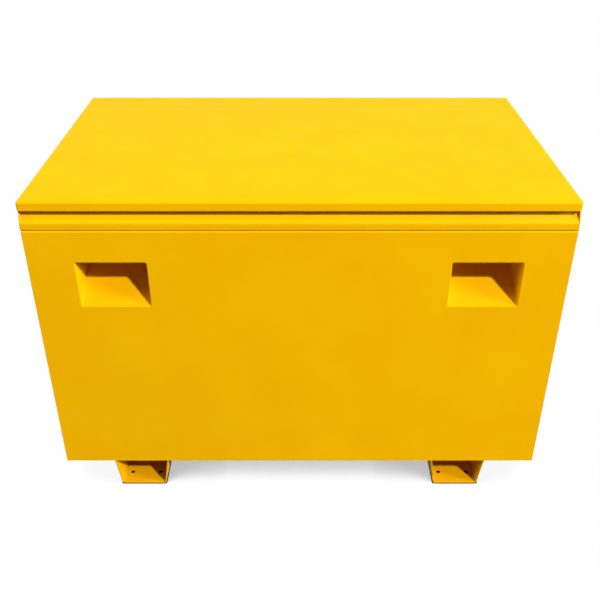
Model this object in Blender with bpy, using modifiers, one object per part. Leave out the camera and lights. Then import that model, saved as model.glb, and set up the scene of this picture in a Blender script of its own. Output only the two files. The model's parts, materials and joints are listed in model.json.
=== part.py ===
"""Top-opening steel site chest: folded panels on two channel skids, a hinged lid on gas struts.

Metres. +X is the chest's right, +Y its back and +Z up. The origin is on the ground, under the
middle of the chest's outline. Running the script in Blender builds every piece in its place.
"""
from math import asin, atan2, cos, pi, radians, sin, sqrt, tan

import bmesh
import bpy
from mathutils import Matrix, Vector

# Sheet and fits
FIT = 0.0003  # gap between pieces that touch
SHEET = 0.002  # panels, lid and rim
BEND = 0.004  # outer radius of a fold
BEND_STEPS = 3
ROUND_STEPS = 24

# Chest body
WIDTH = 1.220
SKID_HEIGHT = 0.080
PANEL_HEIGHT = 0.670  # front panel, from the skids to the groove under the rim
PANEL_INSET = 0.0005  # front panel behind the rim's band
PANEL_RETURN = 0.013  # front panel's top edge, folded inwards
FLOOR_FLANGE = 0.040

# Rim that the lid closes over
BAND_HEIGHT = 0.0175
RIM_FOOT = 0.015
SLOPE_RUN = 0.015  # finger slope above the band
SLOPE_RISE = 0.018
EAR_SETBACK = 0.001  # end panels' upper corners behind the band
EAR_LEAN = 0.008  # how far those corners lean back beside the slope
END_ABOVE_SLOPE = 0.009
LIP_LAP = 0.025  # weather lips' flange inside the panels
LIP_LEDGE = 0.015
LIP_RETURN = 0.010
SEAL_HEIGHT = 0.005

# Lid
LID_DEPTH = 0.744
LID_FLANGE = 0.022
LID_GAP = 0.003  # between the lid's edge and the end panels
LID_BEND = 0.006  # outer radius of the lid's folds
STIFFENER_OFFSET = 0.200  # from the lid's middle
STIFFENER_CROWN = 0.044
STIFFENER_MOUTH = 0.060
STIFFENER_DEPTH = 0.018
STIFFENER_FLANGE = 0.020
STIFFENER_END_GAP = 0.012  # from the seals

# Continuous hinge on the back
KNUCKLE_RADIUS = 0.0055
LEAF_SHEET = 0.002
LEAF_HEIGHT = 0.019
LEAF_CLEARANCE = 0.0005  # between a knuckle and the other leaf's edge
KNUCKLES = 15
KNUCKLE_STEPS = 15
KNUCKLE_ROLL = radians(300)
HINGE_END_GAP = 0.030

# Lock pockets, with the lid's tongues and the staples that a padlock joins
POCKET_FROM_END = 0.187  # pocket's middle to the chest's end
POCKET_WIDTH = 0.160
POCKET_HEIGHT = 0.1137
POCKET_BELOW_TOP = 0.0793  # opening's upper edge to the front panel's top
POCKET_DEPTH = 0.095
RAMP_RISE = 0.062
ROOF_BELOW_TOP = 0.015
LOCK_PLATE = 0.005
LOCK_PLATE_BEND = 0.008
TONGUE_SETBACK = 0.045  # tongue's face behind the lid's front
TONGUE_WIDTH = 0.045
TONGUE_FOOT = 0.040
STAPLE_WIDTH = 0.050
STAPLE_GAP = 0.001
SHACKLE_RADIUS = 0.007
SHACKLE_BELOW_ROOF = 0.030
LOCK_PLATE_EDGE = 0.015  # from the shackle hole's middle to the plates' lower edge
SLOT_SIDE = 0.002
SLOT_FRONT = 0.010  # room for the tongue's swing

# Skids
SKID_FROM_END = 0.195  # skid's middle to the chest's end
SKID_SHEET = 0.003
SKID_FOOT = 0.116
SKID_MOUTH = 0.140
SKID_HOLE_RADIUS = 0.0055
SKID_HOLE_SPACING = 0.076
SKID_HOLE_FROM_END = 0.040

# Gas struts: both pivots lie at the arm's length from the hinge, so that the strut turns at
# half of the lid's angle
STRUT_ARM = 0.260
STRUT_ANGLE = radians(70)  # between the two arms, lid shut
STRUT_CLEARANCE = 0.008  # between the tube and the weather lip
TUBE_RADIUS = 0.009
TUBE_WALL = 0.0015
ROD_RADIUS = 0.004
ROD_SHOWING = 0.012  # lid shut
GLAND_LENGTH = 0.018
PISTON_LENGTH = 0.012
PISTON_FREE = 0.003
SOCKET_LENGTH = 0.018
SOCKET_RADIUS = 0.008
SOCKET_BACK = 0.0075
SOCKET_MOUTH = 0.0042
SHANK_RADIUS = 0.0045
BALL_RADIUS = 0.005
BALL_CLEARANCE = 0.0004
BALL_STEPS = 6
BALL_ROUND_STEPS = 12
STUD_NECK = 0.003
STUD_REACH = 0.0123  # ball's middle to the plate that carries it
COLLAR_RADIUS = 0.006
COLLAR_LENGTH = 0.004
STUD_RADIUS = 0.004
STUD_END = 0.001
NUT_RADIUS = 0.0075
NUT_LENGTH = 0.006
NUT_SIDES = 6
STRUT_PLATE = 0.003
STRUT_PLATE_LENGTH = 0.050
BRACKET_BELOW_BALL = 0.012
BRACKET_FOOT = 0.030
MOUNT_CROWN = 0.040
MOUNT_FLANGE = 0.018

# Heights
BODY_BOTTOM = SKID_HEIGHT + FIT
PANEL_TOP = BODY_BOTTOM + PANEL_HEIGHT
RIM_BOTTOM = PANEL_TOP + FIT
BAND_TOP = RIM_BOTTOM + BAND_HEIGHT
EAR_BOTTOM = BAND_TOP - BEND
SLOPE_TOP = BAND_TOP + SLOPE_RISE
END_TOP = SLOPE_TOP + END_ABOVE_SLOPE
LID_EDGE = END_TOP + LID_GAP
LID_TOP = LID_EDGE + LID_FLANGE
LID_SEAT = LID_TOP - SHEET - FIT  # where the lid's inner pieces bear
LIP_TOP = LID_SEAT - SEAL_HEIGHT - FIT

# Places along Y
OVERALL_DEPTH = LID_DEPTH + FIT + 2 * KNUCKLE_RADIUS
FRONT = -OVERALL_DEPTH / 2
PANEL_FRONT = FRONT + PANEL_INSET
INNER_FRONT = PANEL_FRONT + SHEET + FIT
RIM_NECK = FRONT + SLOPE_RUN
BACK = FRONT + LID_DEPTH
INNER_BACK = BACK - SHEET - FIT
BACK_NECK = BACK - LIP_LEDGE

# Places along X
END_X = WIDTH / 2
INNER_X = END_X - SHEET - FIT
NECK_X = END_X - LIP_LEDGE
POCKET_X = END_X - POCKET_FROM_END
SKID_X = END_X - SKID_FROM_END
STRUT_X = NECK_X - LIP_RETURN - STRUT_CLEARANCE - TUBE_RADIUS

# Axes of the moving pieces
HINGE = Vector((0.0, BACK + FIT + KNUCKLE_RADIUS, (END_TOP + LID_EDGE) / 2))
STRUT_FOOT = HINGE - STRUT_ARM * Vector((0.0, cos(STRUT_ANGLE), sin(STRUT_ANGLE)))
STRUT_HEAD = HINGE - STRUT_ARM * Vector((0.0, 1.0, 0.0))
STRUT_LENGTH = (STRUT_HEAD - STRUT_FOOT).length

SIDES = (("left", -1), ("right", 1))
BEYOND = 0.050  # how far a cutter reaches past what it cuts


def collection(name):
    """Collection of that name in the scene, made if there is none."""
    found = bpy.data.collections.get(name)
    if found is None:
        found = bpy.data.collections.new(name)
        bpy.context.scene.collection.children.link(found)
    return found


def finish(name, colour, roughness, metallic=0.0):
    """Principled material with a plain colour."""
    material = bpy.data.materials.get(name) or bpy.data.materials.new(name)
    material.use_nodes = True
    shader = material.node_tree.nodes["Principled BSDF"]
    shader.inputs["Base Color"].default_value = (*colour, 1.0)
    shader.inputs["Roughness"].default_value = roughness
    shader.inputs["Metallic"].default_value = metallic
    return material


for existing in list(bpy.data.objects):
    bpy.data.objects.remove(existing, do_unlink=True)

PARTS = collection("site_chest")
CUTTERS = collection("site_chest_cutters")

YELLOW = finish("yellow_powder_coat", (0.913, 0.479, 0.002), 0.45)
BLACK = finish("black_lacquer", (0.012, 0.012, 0.013), 0.35)
NYLON = finish("black_nylon", (0.020, 0.020, 0.021), 0.55)
CHROME = finish("chromed_rod", (0.72, 0.72, 0.73), 0.12, 1.0)
ZINC = finish("zinc_plate", (0.58, 0.58, 0.55), 0.35, 1.0)
RUBBER = finish("seal_rubber", (0.014, 0.014, 0.015), 0.80)


# Making pieces


def mesh_object(name, mesh, home):
    """Object that takes over a bmesh, in the collection that is its home."""
    data = bpy.data.meshes.new(name)
    mesh.to_mesh(data)
    mesh.free()
    made = bpy.data.objects.new(name, data)
    home.objects.link(made)
    return made


def part(name, mesh, material):
    """Piece of the chest."""
    made = mesh_object(name, mesh, PARTS)
    made.data.materials.append(material)
    return made


def cutter(name, mesh):
    """Body that shapes a piece and isn't one itself."""
    made = mesh_object(name, mesh, CUTTERS)
    made.hide_render = True
    made.display_type = "WIRE"
    return made


def shape(piece, tool, operation="DIFFERENCE"):
    """Cut the tool's shape from the piece, or join it on."""
    boolean = piece.modifiers.new(tool.name, "BOOLEAN")
    boolean.operation = operation
    boolean.solver = "EXACT"
    boolean.object = tool


def axis_at(name, place, tilt=0.0):
    """Empty on a joint's axis, which carries the pieces that turn there."""
    empty = bpy.data.objects.new(name, None)
    empty.location = place
    empty.rotation_euler = (tilt, 0.0, 0.0)
    PARTS.objects.link(empty)
    return empty


def carried(piece, empty):
    """Hang a piece that is modelled in place on a joint's empty."""
    piece.parent = empty
    piece.matrix_parent_inverse = Matrix.Translation(-empty.location)
    return piece


def blocks(*spans):
    """Bmesh with a box for each pair of opposite corners."""
    mesh = bmesh.new()
    for first, second in spans:
        low = Vector(map(min, first, second))
        high = Vector(map(max, first, second))
        made = bmesh.ops.create_cube(mesh, size=1.0)["verts"]
        bmesh.ops.scale(mesh, vec=high - low, verts=made)
        bmesh.ops.translate(mesh, vec=(low + high) / 2, verts=made)
    return mesh


def both_ends(inner, low, high):
    """Bmesh with a box past each end of the chest, from inner outwards."""
    spans = []
    for _, side in SIDES:
        spans.append(((side * inner, *low), (side * (END_X + BEYOND), *high)))
    return blocks(*spans)


def bars(along, radius, *ends):
    """Bmesh with a round bar for each pair of end points, all along one axis."""
    turn = {"X": Matrix.Rotation(pi / 2, 4, "Y"), "Y": Matrix.Rotation(pi / 2, 4, "X"), "Z": Matrix()}
    mesh = bmesh.new()
    for first, second in ends:
        middle = (Vector(first) + Vector(second)) / 2
        bmesh.ops.create_cone(
            mesh,
            cap_ends=True,
            segments=ROUND_STEPS,
            radius1=radius,
            radius2=radius,
            depth=(Vector(second) - Vector(first)).length,
            matrix=Matrix.Translation(middle) @ turn[along],
        )
    return mesh


def fold_line(corners, radius=BEND):
    """Points of a line through the corners, with an arc of the radius at each fold."""
    line = [Vector(corners[0])]
    for before, corner, after in zip(corners, corners[1:], corners[2:]):
        corner = Vector(corner)
        back = (Vector(before) - corner).normalized()
        ahead = (Vector(after) - corner).normalized()
        half = back.angle(ahead) / 2
        centre = corner + (back + ahead).normalized() * radius / sin(half)
        start = (corner + back * radius / tan(half) - centre).normalized()
        end = (corner + ahead * radius / tan(half) - centre).normalized()
        for step in range(BEND_STEPS + 1):
            line.append(centre + start.slerp(end, step / BEND_STEPS) * radius)
    line.append(Vector(corners[-1]))
    return line


def folded_sheet(name, section, along, run, facing, material=YELLOW, thickness=SHEET):
    """Sheet bent to a section and running along an axis.

    The section is the line of the sheet's outer face, in the two axes other than along. run is
    where the sheet starts and ends, and facing is the way that the section's first stretch looks.
    """
    index = "XYZ".index(along)
    mesh = bmesh.new()
    corners = []
    for point in section:
        place = list(point)
        place.insert(index, run[0])
        corners.append(mesh.verts.new(place))
    edges = [mesh.edges.new(pair) for pair in zip(corners, corners[1:])]
    swept = bmesh.ops.extrude_edge_only(mesh, edges=edges)["geom"]
    travel = Vector((0.0, 0.0, 0.0))
    travel[index] = run[1] - run[0]
    moved = [item for item in swept if isinstance(item, bmesh.types.BMVert)]
    bmesh.ops.translate(mesh, vec=travel, verts=moved)
    bmesh.ops.recalc_face_normals(mesh, faces=mesh.faces)
    if corners[0].link_faces[0].normal.dot(Vector(facing)) < 0:
        bmesh.ops.reverse_faces(mesh, faces=mesh.faces)
    sheet = part(name, mesh, material)
    thicken(sheet, thickness)
    return sheet


def thicken(sheet, thickness, outwards=False):
    """Give an open surface its thickness, behind its faces or in front of them."""
    solid = sheet.modifiers.new("sheet", "SOLIDIFY")
    solid.thickness = thickness
    solid.offset = 1.0 if outwards else -1.0
    solid.use_even_offset = True


def turned(name, profile, material, steps=ROUND_STEPS, ring=False):
    """Round piece about its own Z axis, from (radius, height) points down its outer side."""
    mesh = bmesh.new()
    points = [mesh.verts.new((radius, 0.0, height)) for radius, height in profile]
    for pair in zip(points, points[1:]):
        mesh.edges.new(pair)
    if ring:
        mesh.edges.new((points[-1], points[0]))
    piece = part(name, mesh, material)
    screw = piece.modifiers.new("turn", "SCREW")
    screw.axis = "Z"
    screw.steps = steps
    screw.render_steps = steps
    screw.use_merge_vertices = True
    screw.merge_threshold = 0.00001
    screw.use_smooth_shade = steps > NUT_SIDES
    return piece


def placed(piece, empty, place, turn=(0.0, 0.0, 0.0)):
    """Set a piece's place and turn, on an empty where it has one."""
    piece.parent = empty
    piece.location = place
    piece.rotation_euler = turn
    return piece


# Body


def front_panel():
    """Front sheet with its top edge folded in and an opening for each lock pocket."""
    section = fold_line([
        (PANEL_FRONT, BODY_BOTTOM),
        (PANEL_FRONT, PANEL_TOP),
        (PANEL_FRONT + PANEL_RETURN, PANEL_TOP),
    ])
    panel = folded_sheet("front_panel", section, "X", (-END_X, END_X), (0, -1, 0))
    low = (INNER_FRONT, PANEL_TOP - BEYOND)
    high = (INNER_FRONT + BEYOND, PANEL_TOP + BEYOND)
    shape(panel, cutter("panel_return_ends", both_ends(INNER_X, low, high)))
    top = PANEL_TOP - POCKET_BELOW_TOP
    openings = []
    for _, side in SIDES:
        middle = side * POCKET_X
        openings.append((
            (middle - POCKET_WIDTH / 2, PANEL_FRONT - BEYOND, top - POCKET_HEIGHT),
            (middle + POCKET_WIDTH / 2, PANEL_FRONT + BEYOND, top),
        ))
    shape(panel, cutter("pocket_openings", blocks(*openings)))


def back_panel():
    """Back sheet, as wide as the chest."""
    low = (-END_X, BACK - SHEET, BODY_BOTTOM)
    part("back_panel", blocks((low, (END_X, BACK, END_TOP))), YELLOW)


def end_panels():
    """End sheets between the front and the back, stepped forward and leaning back beside the rim."""
    band_step = FRONT + SHEET + 2 * FIT
    ear_front = FRONT + EAR_SETBACK
    lean = Matrix.Rotation(-atan2(EAR_LEAN, END_TOP - BAND_TOP), 4, "X")
    ear_line = Matrix.Translation((0.0, ear_front, BAND_TOP)) @ lean
    for name, side in SIDES:
        faces = (side * (END_X - SHEET), side * END_X)
        plate = blocks(((faces[0], ear_front, BODY_BOTTOM), (faces[1], INNER_BACK, END_TOP)))
        panel = part(f"{name}_end_panel", plate, YELLOW)
        beyond = side * BEYOND
        steps = (
            ("front_step", INNER_FRONT + FIT, RIM_BOTTOM),
            ("band_step", band_step, EAR_BOTTOM + FIT),
        )
        for step, edge, top in steps:
            low = (faces[0] - beyond, FRONT - BEYOND, BODY_BOTTOM - BEYOND)
            shape(panel, cutter(f"{name}_{step}", blocks((low, (faces[1] + beyond, edge, top)))))
        ear = blocks(((faces[0] - beyond, -BEYOND, -BEYOND), (faces[1] + beyond, 0.0, BEYOND)))
        ear.transform(ear_line)
        shape(panel, cutter(f"{name}_ear_lean", ear))


def floor_pan():
    """Floor sheet with flanges turned up inside the four panels."""
    low = (-INNER_X, INNER_FRONT, BODY_BOTTOM)
    mesh = blocks((low, (INNER_X, INNER_BACK, BODY_BOTTOM + FLOOR_FLANGE)))
    open_box(mesh, Vector((0, 0, 1)), BEND)
    thicken(part("floor_pan", mesh, YELLOW), SHEET)


def open_box(mesh, mouth, radius):
    """Take the side that looks to the mouth off a box, and round its other edges."""
    gone = [face for face in mesh.faces if face.normal.dot(mouth) > 0.9]
    bmesh.ops.delete(mesh, geom=gone, context="FACES")
    folds = [edge for edge in mesh.edges if len(edge.link_faces) == 2]
    bmesh.ops.bevel(
        mesh,
        geom=folds,
        offset=radius,
        segments=BEND_STEPS,
        profile=0.5,
        affect="EDGES",
        material=-1,
    )


def front_rim():
    """Front rim: foot on the panel, band, finger slope, neck and the return under the seal."""
    section = fold_line([
        (FRONT + RIM_FOOT, RIM_BOTTOM),
        (FRONT, RIM_BOTTOM),
        (FRONT, BAND_TOP),
        (RIM_NECK, SLOPE_TOP),
        (RIM_NECK, LIP_TOP),
        (RIM_NECK + LIP_RETURN, LIP_TOP),
    ])
    rim = folded_sheet("front_rim", section, "X", (-END_X, END_X), (0, 0, -1))
    behind_band = FRONT + SHEET + FIT
    ends = (
        ("rim_foot_ends", INNER_X, (behind_band, RIM_BOTTOM - BEYOND), (BACK, EAR_BOTTOM + FIT)),
        ("rim_slope_ends", INNER_X, (FRONT - BEYOND, EAR_BOTTOM), (BACK, LID_TOP)),
    )
    for name, inner, low, high in ends:
        shape(rim, cutter(name, both_ends(inner, low, high)))
    trim_neck(rim, "rim", RIM_NECK, 1)


def trim_neck(lip, name, neck, inwards):
    """Shorten a neck and its return to make room for the lips along the chest's ends.

    inwards is 1 where the return points to +Y, and -1 where it points to -Y.
    """
    low = (neck - BEYOND, END_TOP)
    high = (neck + BEYOND, LID_TOP)
    shape(lip, cutter(f"{name}_neck_ends", both_ends(NECK_X, low, high)))
    low = (neck + inwards * (SHEET + FIT), END_TOP + LIP_RETURN / 2)
    high = (neck + inwards * BEYOND, LID_TOP)
    inner = NECK_X - LIP_RETURN - FIT
    shape(lip, cutter(f"{name}_return_ends", both_ends(inner, low, high)))


def weather_lips():
    """Z-shaped lips inside the ends and the back: lap, ledge, neck and return."""
    behind_rim = RIM_NECK + SHEET + 2 * FIT
    before_back = BACK_NECK - SHEET - 2 * FIT
    for name, side in SIDES:
        section = lip_section(INNER_X, NECK_X)
        section = [(side * across, height) for across, height in section]
        run = (behind_rim, before_back)
        folded_sheet(f"{name}_weather_lip", section, "Y", run, (side, 0, 0))
    section = lip_section(INNER_BACK, BACK_NECK)
    lip = folded_sheet("back_weather_lip", section, "X", (-INNER_X, INNER_X), (0, 1, 0))
    trim_neck(lip, "back_lip", BACK_NECK, -1)


def lip_section(wall, neck):
    """Section of a weather lip, whose lap lies against the wall."""
    return fold_line([
        (wall, END_TOP - LIP_LAP),
        (wall, END_TOP),
        (neck, END_TOP),
        (neck, LIP_TOP),
        (neck - LIP_RETURN, LIP_TOP),
    ])


# Locks


def lock_pockets():
    """Welded pocket behind each opening, its floor a ramp, with the staple under its roof."""
    mouth_top = PANEL_TOP - POCKET_BELOW_TOP
    roof = PANEL_TOP - ROOF_BELOW_TOP
    tongue = FRONT + TONGUE_SETBACK
    staple = tongue + LOCK_PLATE + STAPLE_GAP
    shackle = roof - SHACKLE_BELOW_ROOF
    for name, side in SIDES:
        middle = side * POCKET_X
        low = (middle - POCKET_WIDTH / 2, INNER_FRONT, mouth_top - POCKET_HEIGHT)
        high = (middle + POCKET_WIDTH / 2, INNER_FRONT + POCKET_DEPTH, roof)
        mesh = blocks((low, high))
        floor = [vert for vert in mesh.verts if vert.co.z < mouth_top]
        ramp_top = [vert for vert in floor if vert.co.y > INNER_FRONT + FIT]
        bmesh.ops.translate(mesh, vec=(0.0, 0.0, RAMP_RISE), verts=ramp_top)
        front = [face for face in mesh.faces if face.normal.y < -0.9]
        bmesh.ops.delete(mesh, geom=front, context="FACES")
        pocket = part(f"{name}_lock_pocket", mesh, YELLOW)
        thicken(pocket, SHEET, outwards=True)
        half_slot = TONGUE_WIDTH / 2 + SLOT_SIDE
        slot = blocks((
            (middle - half_slot, tongue - SLOT_FRONT, roof - BEND),
            (middle + half_slot, tongue + LOCK_PLATE + 2 * FIT, roof + BEND),
        ))
        shape(pocket, cutter(f"{name}_tongue_slot", slot))

        plate = blocks((
            (middle - STAPLE_WIDTH / 2, staple, shackle - LOCK_PLATE_EDGE),
            (middle + STAPLE_WIDTH / 2, staple + LOCK_PLATE, roof - FIT),
        ))
        hole_ends = ((middle, tongue - BEYOND, shackle), (middle, staple + BEYOND, shackle))
        hole = cutter(f"{name}_shackle_hole", bars("Y", SHACKLE_RADIUS, hole_ends))
        shape(part(f"{name}_lock_staple", plate, YELLOW), hole)
        lock_tongue(name, middle, tongue, shackle, hole)


def lock_tongue(name, middle, face, shackle, hole):
    """Plate bent down from the lid, which reaches through the pocket's roof."""
    section = fold_line(
        [
            (face, shackle - LOCK_PLATE_EDGE),
            (face, LID_SEAT),
            (face + TONGUE_FOOT, LID_SEAT),
        ],
        LOCK_PLATE_BEND,
    )
    run = (middle - TONGUE_WIDTH / 2, middle + TONGUE_WIDTH / 2)
    tongue = folded_sheet(f"{name}_lock_tongue", section, "X", run, (0, -1, 0), thickness=LOCK_PLATE)
    shape(tongue, hole)
    carried(tongue, LID_AXIS)


# Skids


def skids():
    """Channel skids, open at the ends, with holes for holding the chest down."""
    over = ((-END_X, FRONT - BEYOND, SKID_HEIGHT), (END_X, BACK + BEYOND, SKID_HEIGHT + BEYOND))
    flat_top = cutter("skid_tops", blocks(over))
    lean = (SKID_MOUTH - SKID_FOOT) / 2 / SKID_HEIGHT
    wall_top = SKID_HEIGHT + SKID_SHEET  # trimmed level with the floor
    for name, side in SIDES:
        middle = side * SKID_X
        reach = SKID_FOOT / 2 + lean * wall_top
        section = fold_line(
            [
                (middle - reach, wall_top),
                (middle - SKID_FOOT / 2, 0.0),
                (middle + SKID_FOOT / 2, 0.0),
                (middle + reach, wall_top),
            ],
            BEND + SKID_SHEET - SHEET,
        )
        run = (PANEL_FRONT, BACK)
        skid = folded_sheet(f"{name}_skid", section, "Y", run, (-1, 0, 0), thickness=SKID_SHEET)
        shape(skid, flat_top)
        holes = []
        for across in (-SKID_HOLE_SPACING / 2, SKID_HOLE_SPACING / 2):
            for along in (PANEL_FRONT + SKID_HOLE_FROM_END, BACK - SKID_HOLE_FROM_END):
                hole = Vector((middle + across, along, 0.0))
                holes.append((hole - Vector((0, 0, BEYOND)), hole + Vector((0, 0, BEYOND))))
        shape(skid, cutter(f"{name}_skid_holes", bars("Z", SKID_HOLE_RADIUS, *holes)))


# Hinge


def hinge():
    """Continuous hinge: two rolled leaves whose knuckles alternate on one pin."""
    half = END_X - HINGE_END_GAP
    pitch = 2 * half / KNUCKLES
    for name, upwards, first in (("hinge_body_leaf", -1, 1), ("hinge_lid_leaf", 1, 0)):
        section = [(HINGE.y - KNUCKLE_RADIUS, HINGE.z + upwards * LEAF_HEIGHT)]
        for step in range(KNUCKLE_STEPS + 1):
            angle = pi - KNUCKLE_ROLL * step / KNUCKLE_STEPS
            across = HINGE.y + KNUCKLE_RADIUS * cos(angle)
            section.append((across, HINGE.z - upwards * KNUCKLE_RADIUS * sin(angle)))
        leaf = folded_sheet(name, section, "X", (-half, half), (0, -1, 0), ZINC, LEAF_SHEET)
        gaps = []
        edge = HINGE.z + upwards * (KNUCKLE_RADIUS + LEAF_CLEARANCE)
        for knuckle in range(first, KNUCKLES, 2):
            start = -half + pitch * knuckle
            low = (start - FIT, HINGE.y - BEYOND, edge)
            gaps.append((low, (start + pitch + FIT, HINGE.y + BEYOND, edge - upwards * BEYOND)))
        shape(leaf, cutter(f"{name}_gaps", blocks(*gaps)))
        if upwards > 0:
            carried(leaf, LID_AXIS)
    ends = ((-half, HINGE.y, HINGE.z), (half, HINGE.y, HINGE.z))
    part("hinge_pin", bars("X", KNUCKLE_RADIUS - LEAF_SHEET - FIT, ends), ZINC)


# Lid


def lid_shell():
    """Flat lid with flanges folded down on its four sides."""
    mesh = blocks(((-END_X, FRONT, LID_EDGE), (END_X, BACK, LID_TOP)))
    open_box(mesh, Vector((0, 0, -1)), LID_BEND)
    shell = part("lid_shell", mesh, YELLOW)
    thicken(shell, SHEET)
    carried(shell, LID_AXIS)


def lid_stiffeners():
    """Hat-shaped ribs under the lid, from the front seal to the back one."""
    run = (RIM_NECK + LIP_RETURN + STIFFENER_END_GAP, BACK_NECK - LIP_RETURN - STIFFENER_END_GAP)
    edge = STIFFENER_MOUTH / 2 + STIFFENER_FLANGE
    half_line = [(edge, 0.0), (STIFFENER_MOUTH / 2, 0.0), (STIFFENER_CROWN / 2, -STIFFENER_DEPTH)]
    for name, side in SIDES:
        corners = [(-across, drop) for across, drop in half_line] + half_line[::-1]
        middle = side * STIFFENER_OFFSET
        section = fold_line([(middle + across, LID_SEAT + drop) for across, drop in corners])
        carried(folded_sheet(f"{name}_lid_stiffener", section, "Y", run, (0, 0, 1)), LID_AXIS)


def lid_seals():
    """Rubber strips that the lid presses on the returns of the rim and the lips."""
    low = LIP_TOP + FIT
    high = low + SEAL_HEIGHT
    front = (RIM_NECK, RIM_NECK + LIP_RETURN)
    back = (BACK_NECK - LIP_RETURN, BACK_NECK)
    inner = NECK_X - LIP_RETURN
    strips = {
        "seal_front": ((-NECK_X, front[0], low), (NECK_X, front[1], high)),
        "seal_back": ((-NECK_X, back[0], low), (NECK_X, back[1], high)),
        "seal_left": ((-NECK_X, front[1] + FIT, low), (-inner, back[0] - FIT, high)),
        "seal_right": ((inner, front[1] + FIT, low), (NECK_X, back[0] - FIT, high)),
    }
    for name, span in strips.items():
        carried(part(name, blocks(span), RUBBER), LID_AXIS)


# Gas struts


def strut_mounts():
    """Hat brackets that hold the struts' lower studs off the end panels."""
    web = STRUT_X + STUD_REACH + STRUT_PLATE  # the web's face towards the end panel
    half = MOUNT_CROWN / 2
    line = [
        (INNER_X, -half - MOUNT_FLANGE),
        (INNER_X, -half),
        (web, -half),
        (web, half),
        (INNER_X, half),
        (INNER_X, half + MOUNT_FLANGE),
    ]
    rise = STRUT_PLATE_LENGTH / 2
    for name, side in SIDES:
        section = fold_line([(side * across, STRUT_FOOT.y + along) for across, along in line])
        run = (STRUT_FOOT.z - rise, STRUT_FOOT.z + rise)
        title = f"{name}_strut_mount"
        mount = folded_sheet(title, section, "Z", run, (side, 0, 0), thickness=STRUT_PLATE)
        stud_hole(mount, side, STRUT_FOOT)


def strut_brackets():
    """Angle brackets under the lid that carry the struts' upper studs."""
    face = STRUT_X - STUD_REACH
    half = STRUT_PLATE_LENGTH / 2
    for name, side in SIDES:
        section = fold_line([
            (side * face, STRUT_HEAD.z - BRACKET_BELOW_BALL),
            (side * face, LID_SEAT),
            (side * (face - BRACKET_FOOT), LID_SEAT),
        ])
        run = (STRUT_HEAD.y - half, STRUT_HEAD.y + half)
        title = f"{name}_lid_strut_bracket"
        bracket = folded_sheet(title, section, "Y", run, (side, 0, 0), thickness=STRUT_PLATE)
        stud_hole(bracket, side, STRUT_HEAD)
        carried(bracket, LID_AXIS)


def stud_hole(plate, side, ball):
    """Hole for a ball stud's thread, on the line through the ball."""
    start = Vector((side * STRUT_X - BEYOND, ball.y, ball.z))
    end = Vector((side * STRUT_X + BEYOND, ball.y, ball.z))
    shape(plate, cutter(f"{plate.name}_hole", bars("X", STUD_RADIUS + FIT, (start, end))))


def ball_studs():
    """Ball studs and their nuts: on the mounts inside the ends, and on the lid's brackets."""
    seat = STUD_REACH - FIT
    thread_end = STUD_REACH + STRUT_PLATE + FIT + NUT_LENGTH + STUD_END
    ball_top = asin(STUD_NECK / BALL_RADIUS)
    profile = [
        (0.0, thread_end),
        (STUD_RADIUS, thread_end),
        (STUD_RADIUS, seat),
        (COLLAR_RADIUS, seat),
        (COLLAR_RADIUS, seat - COLLAR_LENGTH),
        (STUD_NECK, seat - COLLAR_LENGTH),
    ]
    for step in range(BALL_STEPS + 1):
        angle = ball_top + (pi - ball_top) * step / BALL_STEPS
        radius = BALL_RADIUS * sin(angle) if step < BALL_STEPS else 0.0
        profile.append((radius, BALL_RADIUS * cos(angle)))
    nut_low = STUD_REACH + STRUT_PLATE + FIT
    nut_high = nut_low + NUT_LENGTH
    nut_bore = (STUD_RADIUS + FIT) / cos(pi / NUT_SIDES)
    nut = [(NUT_RADIUS, nut_high), (NUT_RADIUS, nut_low), (nut_bore, nut_low), (nut_bore, nut_high)]
    for name, side in SIDES:
        ends = (("body", STRUT_FOOT, side, None), ("lid", STRUT_HEAD, -side, LID_AXIS))
        for owner, ball, shank_side, empty in ends:
            place = Vector((side * STRUT_X, ball.y, ball.z))
            if empty:
                place -= empty.location
            turn = (0.0, shank_side * pi / 2, 0.0)
            stud = turned(f"{name}_{owner}_ball_stud", profile, ZINC, BALL_ROUND_STEPS)
            placed(stud, empty, place, turn)
            stud_nut = turned(f"{name}_{owner}_stud_nut", nut, ZINC, NUT_SIDES, ring=True)
            placed(stud_nut, empty, place, turn)


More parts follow.
